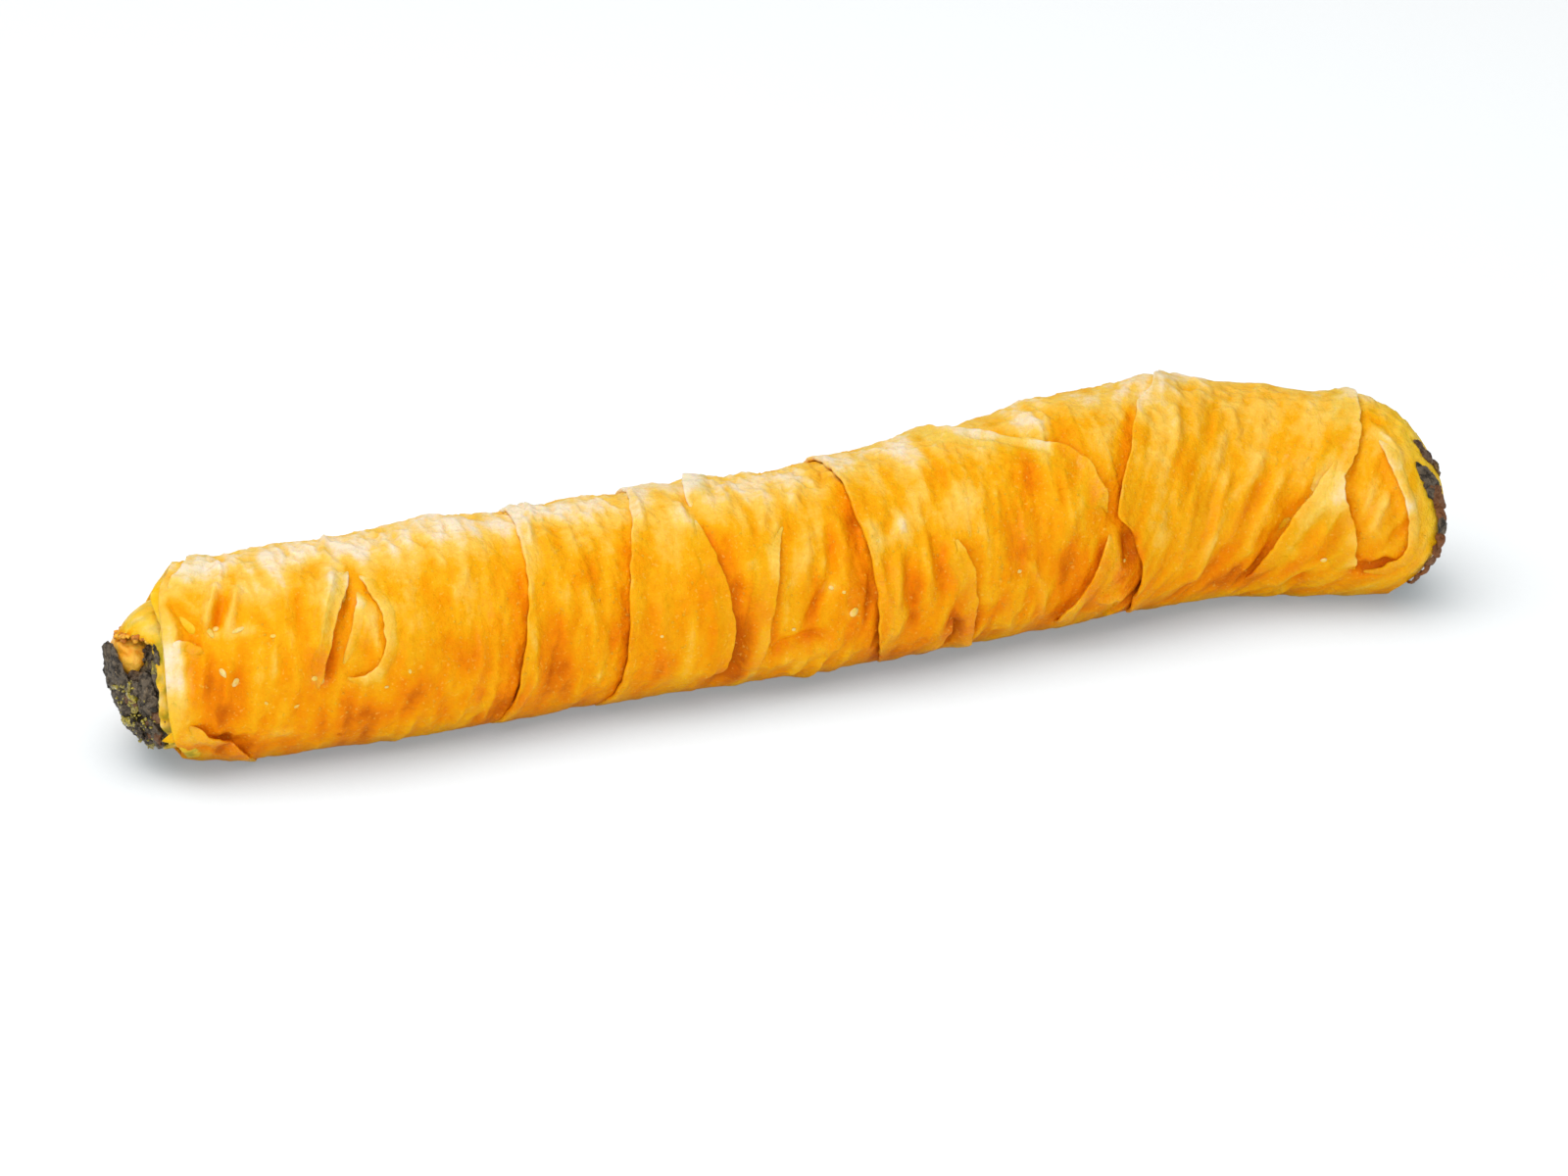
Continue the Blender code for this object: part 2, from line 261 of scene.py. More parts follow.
def measure(path, along, around, reach):
    """Signed distance to a path, positive on its +X side where it runs round, and mm travelled along it."""
    signed = np.full(along.shape, FAR)
    travelled = np.zeros(along.shape)
    low, high = path.min(axis=0) - reach, path.max(axis=0) + reach
    near = (along > low[0]) & (along < high[0]) & (around > low[1]) & (around < high[1])
    places = np.stack([along[near], around[near]], axis=-1)
    best = np.full(len(places), FAR)
    side = np.ones(len(places))
    where = np.zeros(len(places))
    passed = 0.0
    for start, end in zip(path, path[1:]):
        step = end - start
        span = np.hypot(*step)
        offset = places - start
        share = np.clip(offset @ step / span**2, 0.0, 1.0)
        distance = np.hypot(*(offset - share[:, None] * step).T)
        closer = distance < best
        best[closer] = distance[closer]
        side[closer] = np.sign(step[1] * offset[closer, 0] - step[0] * offset[closer, 1])
        where[closer] = passed + share[closer] * span
        passed += span
    signed[near] = best * side
    travelled[near] = where
    return signed, travelled, passed


def free_edge(rise, over, points, width=6.0, fade=4.0, brown_and_shade=0.5, tail=6.0, valley=0.25, lift=0.2, pale_and_highlight=0.5,
              overhang=0.5):
    """A free edge. over is +1 if the sheet on the path's +X side lies on top, and -1 if the other does."""
    return {
        "rise": rise, "over": over, "points": points, "path": path_of(points), "width": width, "fade": fade,
        "brown_and_shade": brown_and_shade, "tail": tail, "valley": valley, "lift": lift, "pale_and_highlight": pale_and_highlight, "overhang": overhang,
    }


def crease(height, width, points, fade=3.0, brown_and_shade=0.0, pale_and_highlight=0.0):
    """A narrow ridge, or with a negative height a groove, along a path."""
    return {
        "height": height, "width": width, "path": path_of(points), "fade": fade, "brown_and_shade": brown_and_shade, "pale_and_highlight": pale_and_highlight,
    }


# Where each turn of the sheet begins, on top of the turn to its left: (degrees round, mm along).
TURNS = [
    {
        "name": "second_turn", "rise": 0.85, "brown_and_shade": 0.75, "curl": 0.1,
        "edge": [
            (-180, -44.0), (-140, -38.0), (-90, -34.0), (-40, -36.0), (5, -37.8), (30, -38.8),
            (60, -40.0), (80, -41.2), (100, -42.0), (125, -43.0), (155, -43.8),
        ],
    },
    {
        "name": "third_turn", "rise": 0.9, "brown_and_shade": 0.85, "curl": 0.1,
        "edge": [
            (-180, -28.0), (-140, -23.0), (-90, -17.5), (-40, -18.2), (-20, -18.9), (15, -21.2),
            (40, -23.5), (60, -25.0), (80, -25.9), (95, -26.2), (115, -26.6), (129, -27.2),
            (155, -28.0),
        ],
    },
    {
        "name": "fourth_turn", "rise": 1.15, "brown_and_shade": 1.0, "curl": 0.15,
        "edge": [
            (-180, 15.5), (-140, 16.0), (-90, 12.5), (-40, 10.5), (20, 10.0), (40, 9.9), (60, 10.3),
            (90, 10.8), (105, 11.0), (120, 12.0), (150, 14.5),
        ],
    },
    {
        "name": "fifth_turn", "rise": 1.15, "brown_and_shade": 0.6, "curl": 0.2,
        "edge": [
            (-180, 62.0), (-140, 68.0), (-90, 72.0), (-40, 70.0), (-20, 66.0), (-5, 63.0), (5, 61.0),
            (10, 58.7), (20, 56.6), (30, 54.8), (42, 53.0), (52, 51.0), (62, 49.4), (72, 48.6),
            (80, 50.5), (92, 51.6), (100, 52.3), (115, 52.3), (134, 53.0), (158, 56.0),
        ],
    },
]

FREE_EDGES = {
    "left_shoulder_edge": free_edge(0.8, +1, [
        (-80.5, -60), (-82.6, -18), (-85.2, 1), (-88.5, 14),
    ], width=5, brown_and_shade=0.1, fade=3, lift=0.4),
    "left_pocket_edge": free_edge(0.9, -1, [
        (-63.0, 16), (-64.0, 30), (-66.6, 46), (-69.0, 64), (-70.4, 80), (-70.9, 96),
    ], width=3.5, brown_and_shade=1.2, fade=5.0, pale_and_highlight=0.9, lift=0.0, overhang=0.15),
    "left_pocket_flap": free_edge(0.7, +1, [
        (-62.8, 22), (-61.8, 36), (-60.8, 55), (-61.2, 70), (-62.8, 81), (-65.2, 84.5), (-68.4, 83),
    ], width=3, brown_and_shade=0.5, fade=4.0, tail=4.0, pale_and_highlight=0.8, lift=0.1, overhang=0.3),
    "left_pocket_lens": free_edge(0.6, +1, [
        (-62.8, 28), (-63.9, 44), (-65.8, 60), (-67.2, 74), (-67.8, 84),
    ], width=2.2, fade=5.0, brown_and_shade=0.5, pale_and_highlight=0.9, lift=0.0, overhang=0.1),
    "left_foot_edge": free_edge(1.1, -1, [
        (-89.0, 100), (-88.0, 103), (-86.0, 110), (-83.8, 119), (-81.0, 130), (-79.2, 141), (-76.0, 165),
    ], width=4, brown_and_shade=1.0, fade=2.5, lift=0.35),
    "rim_fold": free_edge(0.6, -1, [
        (-90.2, 49), (-88.6, 50), (-86.6, 54), (-85.4, 60),
    ], width=2.5, brown_and_shade=0.25, fade=1.5, tail=4.0),
    "crest_lap": free_edge(1.0, +1, [
        (-6.2, -72), (-7.4, -46), (-9.2, -24), (-11.2, -6), (-12.3, 8), (-12.8, 22),
    ], width=5, brown_and_shade=0.3, pale_and_highlight=1.0, fade=4.0),
    "puff_edge": free_edge(0.95, -1, [
        (-12.9, 22), (-12.7, 36), (-12.1, 52), (-11.3, 70), (-10.9, 90), (-11.3, 112), (-12.3, 134),
    ], width=4.5, brown_and_shade=1.5, pale_and_highlight=0.2, fade=5.0, lift=0.1, overhang=0.3),
    "middle_edge": free_edge(1.0, -1, [
        (1.0, 30), (-2.0, 45), (-4.5, 70), (-5.5, 85), (-6.3, 105), (-6.6, 128), (-6.4, 145),
    ], brown_and_shade=0.9, fade=9.0, pale_and_highlight=0.3, lift=0.1),
    "teardrop_edge": free_edge(0.9, -1, [
        (23.6, 58), (24.2, 70), (25.2, 85), (25.8, 100), (26.2, 120), (27.4, 138), (28.2, 150),
    ], width=5, brown_and_shade=0.8),
    "teardrop_fold": free_edge(0.6, -1, [
        (23.8, 108), (22.6, 122), (21.4, 136), (20.8, 160),
    ], width=3, brown_and_shade=0.8, fade=3),
    "shoulder_fold": free_edge(1.4, -1, [
        (22.0, -100), (24.5, -60), (27.5, -24), (30.0, -2), (32.6, 3), (35.0, 10), (37.5, 18), (40.0, 25),
        (43.0, 31), (45.0, 40), (46.5, 57), (48.0, 73),
    ], brown_and_shade=0.7, tail=7.0, lift=0.5, pale_and_highlight=0.9),
    "pocket_fold": free_edge(1.0, +1, [
        (48.0, 76), (46.6, 86), (45.0, 99), (43.0, 112), (41.4, 120), (40.8, 140),
    ], width=4, brown_and_shade=1.0),
    "long_fold": free_edge(1.1, +1, [
        (85.6, 40), (82.0, 55), (79.0, 68), (77.0, 77), (75.0, 88), (73.5, 98), (72.3, 110), (71.0, 124),
        (70.0, 138),
    ], width=5, brown_and_shade=1.2, valley=0.8, fade=9.0, pale_and_highlight=0.15, lift=0.1),
    "outer_end": free_edge(0.95, -1, [
        (93.0, -140), (93.5, -80), (92.0, -25), (90.4, 6), (89.0, 20), (87.5, 35), (85.4, 48), (82.8, 61),
        (82.4, 69), (83.8, 82), (84.1, 97), (84.8, 109), (86.4, 118),
    ], brown_and_shade=0.5, lift=0.3, pale_and_highlight=0.8),
    "outer_pocket_flap": free_edge(0.9, -1, [
        (86.2, 118.5), (88.6, 115), (90.6, 108), (92.0, 99), (92.4, 88), (91.6, 72), (90.7, 55),
        (90.0, 34),
    ], width=3, brown_and_shade=0.45, tail=3.0, lift=0.25, pale_and_highlight=0.8),
    "back_left_edge": free_edge(1.1, +1, [
        (-60.0, -140), (-65.0, -115), (-66.5, -95), (-65.4, -72),
    ], brown_and_shade=0.5),
    "back_right_edge": free_edge(1.0, -1, [
        (33.0, -140), (36.0, -110), (40.0, -85), (46.0, -60), (50.0, -40),
    ], brown_and_shade=0.5),
    "back_middle_edge": free_edge(1.0, -1, [
        (-1.0, -140), (-5.0, -105), (-4.0, -75), (-1.0, -52),
    ], brown_and_shade=0.5),
}

CREASES = [
    # left end
    crease(0.35, 0.5, [(-79.8, -10), (-80.4, 10), (-82.0, 24)], pale_and_highlight=0.4),
    crease(0.8, 0.75, [(-81.0, 14), (-83.4, 32), (-86.0, 50)], pale_and_highlight=1.2),
    crease(0.7, 0.75, [(-78.6, 20), (-81.0, 38), (-82.6, 52)], pale_and_highlight=1.1),
    crease(-0.8, 0.8, [(-80.2, 22), (-82.2, 38), (-84.4, 50)], brown_and_shade=1.1),
    crease(-0.8, 0.9, [(-88.2, 16), (-87.6, 28), (-86.4, 40), (-85.2, 50)], brown_and_shade=1.0),
    crease(0.35, 0.9, [(-89.8, 18), (-89.0, 44)], pale_and_highlight=0.1),
    crease(0.3, 0.8, [(-78.0, 110), (-76.2, 114), (-73.8, 120)], pale_and_highlight=0.5),
    crease(-0.3, 0.4, [(-68.0, 121), (-67.0, 128)], fade=1.5, brown_and_shade=1.0),
    # the V-shaped pocket and its surroundings
    crease(0.4, 0.6, [(-63.0, -25), (-64.0, -10), (-65.4, 8), (-64.2, 24)], pale_and_highlight=0.6),
    crease(0.35, 0.6, [(-66.0, 24), (-68.4, 44), (-71.0, 72)], pale_and_highlight=0.4),
    crease(-0.5, 1.0, [(-63.9, 28), (-66.2, 48), (-68.6, 68), (-70.2, 90)], brown_and_shade=1.3),
    crease(0.3, 1.3, [(-62.6, 36), (-62.8, 52), (-64.2, 72)], pale_and_highlight=0.6),
    crease(0.45, 0.8, [(-65.4, 20), (-67.2, 36), (-69.6, 54), (-71.4, 74)], pale_and_highlight=0.5),
    crease(-0.3, 0.45, [(-60.0, 20), (-58.5, 6)], brown_and_shade=0.3),
    crease(0.35, 0.5, [(-50.5, 19), (-50.0, 36)], pale_and_highlight=0.6),
    crease(-0.3, 0.6, [(-51.6, 20), (-51.2, 38)], brown_and_shade=0.35),
    crease(-0.35, 1.2, [(-52.2, 100), (-52.4, 132)], brown_and_shade=0.5),
    crease(0.3, 0.8, [(-47.0, 60), (-47.6, 90), (-48.2, 124)], pale_and_highlight=0.2),
    # second and third turns
    crease(0.35, 0.5, [(-34.6, -40), (-36.2, 0), (-36.6, 16), (-37.4, 30)], pale_and_highlight=0.6),
    crease(0.3, 0.45, [(-33.0, -36), (-34.8, 2), (-35.4, 14)], pale_and_highlight=0.4),
    crease(0.25, 0.5, [(-39.0, 90), (-40.6, 110), (-42.0, 130)], pale_and_highlight=0.3),
    crease(-0.35, 0.9, [(-36.0, 78), (-36.5, 112)], brown_and_shade=0.5),
    crease(0.35, 0.6, [(-18.4, -20), (-19.8, 12), (-21.0, 30)], pale_and_highlight=0.5),
    crease(0.3, 0.8, [(-20.6, 60), (-21.2, 90), (-19.4, 126)], pale_and_highlight=0.1),
    crease(0.3, 0.6, [(-14.0, 8), (-14.4, 30)], pale_and_highlight=0.6),
    crease(0.3, 0.9, [(-13.6, 60), (-13.0, 104), (-13.6, 136)]),
    crease(-0.6, 1.4, [(-9.2, 60), (-9.2, 92), (-9.8, 128)], brown_and_shade=1.1),
    crease(-0.35, 0.7, [(-3.4, 64), (-4.4, 80), (-4.8, 112)], brown_and_shade=0.5),
    crease(0.35, 0.8, [(-1.0, 4), (-2.8, 26), (-4.4, 44)], pale_and_highlight=0.5),
    crease(0.35, 0.8, [(5.0, 4), (3.2, 16), (1.0, 31)], pale_and_highlight=0.6),
    crease(0.35, 1.0, [(2.6, 34), (1.4, 56), (0.2, 80)], pale_and_highlight=0.2),
    crease(-0.6, 0.7, [(5.4, 38), (5.0, 58), (4.0, 70), (2.4, 80), (1.0, 90), (-0.2, 100)], brown_and_shade=0.8),
    crease(-0.6, 0.8, [(-5.2, 116), (-2.6, 106), (0.4, 102.5), (4.6, 103)], brown_and_shade=0.9),
    crease(0.5, 1.6, [(-5.0, 122), (0.0, 113), (5.0, 110), (8.0, 111)], pale_and_highlight=0.15),
    crease(0.4, 1.1, [(7.0, 30), (7.0, 60), (7.6, 90)], pale_and_highlight=0.2),
    crease(-0.4, 0.6, [(9.2, -22), (8.6, 4), (6.2, 20)], brown_and_shade=0.15),
    # fourth turn
    crease(0.45, 0.7, [(10.7, 43), (11.4, 52), (12.2, 59)], pale_and_highlight=0.9),
    crease(0.45, 0.8, [(12.2, 59), (14.4, 55), (17.4, 42)], pale_and_highlight=0.9),
    crease(0.4, 0.7, [(12.0, 60), (11.6, 72), (12.4, 94), (12.8, 116)], pale_and_highlight=0.35),
    crease(0.4, 0.9, [(14.2, 62), (13.8, 90), (14.2, 118)], pale_and_highlight=0.3),
    crease(-0.55, 0.8, [(16.4, 60), (15.6, 84), (16.6, 102), (17.2, 110)], brown_and_shade=0.8),
    crease(-0.35, 0.8, [(17.5, 132), (18.4, 122), (19.4, 116)], brown_and_shade=0.5),
    crease(0.3, 0.8, [(19.2, 50), (19.0, 80), (18.8, 108)], pale_and_highlight=0.1),
    crease(-0.35, 1.0, [(21.2, 60), (21.0, 96)], brown_and_shade=0.35),
    crease(0.35, 0.9, [(22.8, 60), (23.2, 96)], pale_and_highlight=0.3),
    crease(-1.1, 1.2, [(24.4, 106), (23.6, 118), (23.2, 136)], brown_and_shade=2.4),
    crease(0.5, 0.7, [(25.2, 104), (26.0, 126), (27.8, 142)], pale_and_highlight=0.4),
    crease(-0.4, 1.4, [(28.2, 100), (29.2, 118)], brown_and_shade=0.6),
    crease(0.35, 0.6, [(32.6, 84), (34.6, 85), (36.4, 98), (37.5, 114), (38.4, 130)], pale_and_highlight=0.5),
    crease(0.3, 0.8, [(30.6, 96), (32.0, 116), (34.0, 136)], pale_and_highlight=0.15),
    crease(-0.4, 1.6, [(39.6, 78), (41.6, 98), (40.2, 114)], brown_and_shade=0.55),
    crease(0.3, 0.7, [(42.4, 56), (41.0, 84)], pale_and_highlight=0.2),
    crease(-0.6, 0.6, [(30.6, 4), (34.4, 13), (38.0, 24), (42.2, 34)], fade=2, brown_and_shade=0.9),
    crease(0.5, 0.5, [(29.6, -4), (33.8, 6), (37.4, 16), (41.4, 27)], fade=2, pale_and_highlight=1.0),
    crease(0.45, 0.6, [(45.4, 114), (46.6, 119), (48.4, 120.5), (50.4, 118), (51.4, 111)], pale_and_highlight=0.7),
    crease(-1.1, 1.1, [(49.6, 76), (50.4, 88), (50.3, 102)], brown_and_shade=2.4),
    crease(-0.4, 1.1, [(49.0, 104), (49.8, 109)], fade=2, brown_and_shade=0.6),
    crease(-0.35, 0.9, [(32.8, -6), (35.8, 2), (38.6, 12)], brown_and_shade=0.1),
    # fifth turn
    crease(-0.4, 0.7, [(63.8, 8), (66.0, 4), (69.2, 0)], brown_and_shade=0.6),
    crease(0.35, 0.6, [(69.2, -40), (69.8, -12), (71.0, 8)], pale_and_highlight=0.5),
    crease(0.4, 0.6, [(72.2, 9), (71.6, 24), (70.4, 40)], pale_and_highlight=0.45),
    crease(0.5, 0.9, [(63.6, 14), (60.4, 42), (57.2, 78)], pale_and_highlight=0.25),
    crease(-0.5, 0.9, [(60.8, 40), (58.4, 62), (56.6, 88)], brown_and_shade=0.3),
    crease(0.6, 1.1, [(68.4, 52), (65.4, 72), (63.0, 96), (61.4, 124)], pale_and_highlight=0.3),
    crease(-0.55, 0.9, [(66.2, 58), (63.8, 80), (61.6, 106)], brown_and_shade=0.2),
    crease(0.6, 1.1, [(74.4, 38), (70.0, 68), (66.2, 100)], pale_and_highlight=0.3),
    crease(-0.6, 1.2, [(72.8, 56), (69.0, 82), (66.4, 104), (64.4, 128)], brown_and_shade=0.5),
    crease(0.55, 1.0, [(79.0, 38), (75.2, 60), (71.4, 84), (69.0, 106)], pale_and_highlight=0.3),
    crease(-0.4, 0.9, [(68.6, 108), (69.6, 118), (70.4, 126)], brown_and_shade=0.8),
    crease(0.35, 1.3, [(82.0, 66), (79.4, 90), (76.2, 116), (74.4, 132)], pale_and_highlight=0.1),
    crease(-0.6, 0.8, [(79.4, 114), (78.6, 126), (78.2, 138)], brown_and_shade=0.9),
    crease(0.3, 0.8, [(62.4, 60), (60.0, 84), (58.6, 110)], pale_and_highlight=0.2),
    crease(0.3, 0.7, [(78.0, 2), (76.0, 20), (73.6, 38)], pale_and_highlight=0.1),
    # the right end
    crease(-1.0, 1.1, [(85.4, 107), (86.6, 113), (88.8, 112), (90.6, 106)], fade=1.5, brown_and_shade=2.2),
    crease(0.4, 1.6, [(88.0, 60), (86.8, 80), (87.4, 98)], pale_and_highlight=0.35),
    crease(-0.3, 0.8, [(88.8, 44), (90.4, 84), (89.8, 100)], brown_and_shade=0.3),
    crease(0.4, 0.6, [(90.5, 28), (92.0, 48), (91.4, 60)], pale_and_highlight=0.6),
    crease(0.4, 0.6, [(91.2, 60), (92.4, 74), (93.2, 88)], pale_and_highlight=0.5),
    crease(-0.35, 0.8, [(91.0, 20), (92.2, 30)], fade=2, brown_and_shade=0.6),
]

# Puffs and hollows: (mm along, degrees, height, mm half-length, degrees half-reach).
PUFFS = [
    (-86.0, 46, -0.5, 1.4, 12), (-88.9, 148, -2.7, 4.6, 27), (-82.4, 123, -1.5, 2.8, 9),
    (-48.0, -15, 1.1, 7.0, 50), (-36.2, 97, -0.6, 2.2, 22), (2.0, 128, 0.9, 4.6, 20),
    (15.5, 130, -0.7, 3.0, 22), (6.4, 84, 0.5, 1.9, 30), (31.0, 60, 0.8, 5.0, 38),
    (73.0, -45, 1.6, 10.0, 48), (79.0, -8, 1.0, 6.0, 30), (88.0, 118, 0.25, 6.6, 42),
    (91.0, -50, -1.0, 6.0, 50), (63.0, 0, 0.9, 3.0, 14), (64.6, -24, 0.7, 2.8, 18),
    (-15.0, 24, 0.5, 2.0, 12), (48.6, 96, 0.5, 1.6, 18), (-75.0, 60, 0.4, 6.0, 24),
    (-57.0, 66, 0.5, 4.0, 30), (-33.0, 40, 0.4, 4.0, 26), (7.0, 91, 0.5, 0.8, 4),
    (-55.0, -90, -0.9, 2.0, 40), (-12.0, -75, -0.9, 2.2, 46), (20.0, -110, -0.9, 2.0, 40),
    (50.0, -80, -0.9, 2.0, 40), (79.0, 128, -0.7, 1.6, 16), (87.0, 88, 0.5, 2.6, 22),
    (-3.0, -6, -0.5, 2.6, 24), (-27.5, -4, 0.4, 3.4, 26), (38.0, -10, -0.5, 3.0, 24),
]

# Where the sheet is toasted browner, and where it stays paler, golden or yellow, with painted shade, sheen and
# light among
# them as noted at each table: (mm along, degrees, mm half-length, degrees half-reach, how much).
# The strongest brown spots lie in the pockets, at the foot, the teardrop and the right end: there they are
# painted shade as much as toasting.
BROWN_AND_SHADE_SPOTS = [
    (-30.7, 44, 1.2, 9, 1.0), (-31.5, 50, 1.8, 5, 0.6), (-36.2, 96, 1.8, 17, 0.7),
    (-50.0, 83, 2.2, 10, 0.7), (-57.0, 98, 2.6, 10, 0.5), (-63.0, 110, 3.0, 9, 0.5),
    (-70.5, 74, 1.8, 9, 0.7), (-85.8, 74, 2.0, 13, 0.9), (-84.0, 95, 2.4, 10, 0.8),
    (-82.0, 125, 3.0, 8, 2.2), (-79.6, 132, 1.6, 6, 1.4), (-9.2, 98, 1.4, 30, 1.0),
    (9.4, 78, 0.8, 27, 0.7), (23.5, 121, 1.3, 10, 1.8), (28.5, 111, 1.4, 8, 0.7),
    (41.0, 94, 2.8, 17, 0.5), (44.6, 104, 1.2, 9, 0.6), (50.9, 91, 0.9, 10, 1.0),
    (49.5, 104, 1.1, 5, 0.6), (67.0, 118, 3.0, 12, 0.6), (78.8, 126, 0.9, 8, 0.8),
    (86.9, 111, 1.8, 5, 1.6), (-22.0, 108, 2.6, 12, 0.35), (38.0, 42, 2.4, 9, 0.45),
    (25.0, 27, 4.0, 8, 0.35), (56.0, 34, 1.6, 10, 0.35), (-6.0, 46, 3.6, 8, 0.25),
    (16.4, 102, 0.9, 8, 0.5), (91.5, 25, 0.9, 5, 0.7), (16.5, 88, 1.3, 22, 0.3), (47.0, 14, 3.0, 8, 0.25),
    (-15.0, 76, 4.0, 14, 0.15), (72.0, 104, 1.0, 16, 0.5), (61.0, 62, 2.0, 14, 0.2),
    (-44.0, 112, 2.0, 12, 0.3), (-58.0, -100, 9.0, 30, 0.5), (-20.0, -110, 8.0, 26, 0.5),
    (30.0, -96, 10.0, 30, 0.55), (78.0, -100, 9.0, 30, 0.5), (84.8, 58, 1.2, 7, 0.25),
]
# Pale spots over the crest, near 0 degrees, are partly paler sheet and partly painted sheen. The rest are the
# sheet's own paler places.
PALE_AND_HIGHLIGHT_SPOTS = [
    (-84.0, 6, 3.6, 8, 0.9), (-82.0, -6, 4.0, 14, 0.7), (-72.0, 2, 7.0, 16, 0.95),
    (-60.0, 4, 8.0, 17, 0.95), (-48.0, 0, 7.0, 13, 0.8), (-35.0, -4, 5.0, 16, 0.9),
    (-28.5, 2, 4.0, 16, 0.9), (-18.0, -8, 4.0, 18, 0.7), (-15.0, 24, 1.8, 9, 0.9),
    (-8.0, -2, 4.0, 13, 0.7), (-1.5, 6, 3.0, 14, 0.7), (4.0, 4, 3.0, 18, 0.9), (14.0, -4, 5.0, 14, 0.7),
    (21.0, 8, 2.4, 11, 0.8), (31.5, 12, 2.8, 9, 0.85), (40.5, 3, 3.2, 7, 0.6), (51.0, 0, 1.6, 10, 0.7),
    (59.8, 8, 2.4, 8, 0.9), (-76.0, 28, 3.4, 7, 0.7), (-66.4, 28, 1.6, 7, 0.7), (-90.0, 66, 1.7, 25, 2.6),
    (-88.0, 110, 1.8, 8, 0.7), (17.0, 46, 1.6, 6, 0.5), (12.4, 56, 1.2, 5, 0.5), (7.0, 91, 1.0, 4, 0.6),
    (94.6, 100, 1.8, 18, 0.7), (57.0, 50, 1.6, 10, 0.4), (48.4, 96, 1.4, 16, 0.4),
    (-45.0, 52, 3.0, 12, 0.3), (-18.4, 44, 2.0, 12, 0.35), (-84.0, 48, 0.8, 3, 0.8),
    (-80.0, 50, 1.8, 3, 0.8), (27.0, 46, 3.0, 8, 0.3), (67.5, 52, 2.0, 12, 0.25),
    (78.0, 48, 2.4, 9, 0.35), (-71.5, 82, 0.7, 2, 0.9), (-70.5, 85, 0.7, 2, 0.8), (4.0, 76, 0.9, 3, 0.7),
    (72.0, 14, 1.4, 4, 0.5), (-6.6, 112, 0.7, 22, 0.7), (-76.0, 116, 2.0, 4, 0.6),
    (88.4, 76, 2.4, 16, 0.4), (34.0, 70, 2.4, 10, 0.3),
]
GOLDEN_SPOTS = [
    (46.0, 4, 3.6, 9, 1.0), (28.5, -20, 2.2, 18, 1.0), (8.2, 0, 1.7, 20, 1.0), (-83.4, -22, 1.5, 18, 1.0),
    (-86.6, -2, 1.3, 8, 0.9), (78.0, 0, 8.0, 26, 0.6), (-87.0, 32, 2.2, 12, 0.8),
    (-15.0, 42, 1.8, 8, 0.8), (28.0, 16, 4.0, 8, 0.5), (70.0, 28, 6.0, 14, 0.4),
    (-66.0, 52, 1.4, 14, 0.6), (-41.6, 22, 2.0, 10, 0.5), (-20.0, 60, 4.0, 30, 0.4),
    (90.4, 88, 1.2, 16, 0.4),
]
# Yellow spots: the sheet's own yellower colour, and at the right end also painted light, brighter than the
# lamps make it there.
YELLOW_AND_LIT_SPOTS = [
    (97.0, 40, 3.6, 32, 1.1), (96.6, 80, 2.4, 30, 0.9), (99.0, -20, 4.0, 70, 0.9),
    (-90.8, 100, 1.0, 22, 0.7), (91.0, 0, 3.0, 22, 0.3),
]

# What every crease's height and every brown spot are multiplied by.
CREASE_GAIN = 1.45
SPOT_GAIN = 1.7

# The width of a fold's face and of the valley before it, and how far from its path a fold reaches, in mm.
FACE_WIDTH = 0.6
VALLEY_WIDTH = 1.5
FOLD_REACH = 18.0

# Where one turn lies on the next: how far the step and its curl fade, and how deep the sheet before it lies.
LAP_FADE = 6.5
CURL_FADE = 0.9
LAP_VALLEY = 0.3
TUCK_DEPTH = 0.8


def spots(table, along, degrees):
    """The sum of a table's spots at each place."""
    total = np.zeros(np.shape(along))
    for middle, direction, length, reach, amount in table:
        total += amount * np.exp(-(((along - middle) / length) ** 2)) * bump(direction, reach, degrees)
    return total


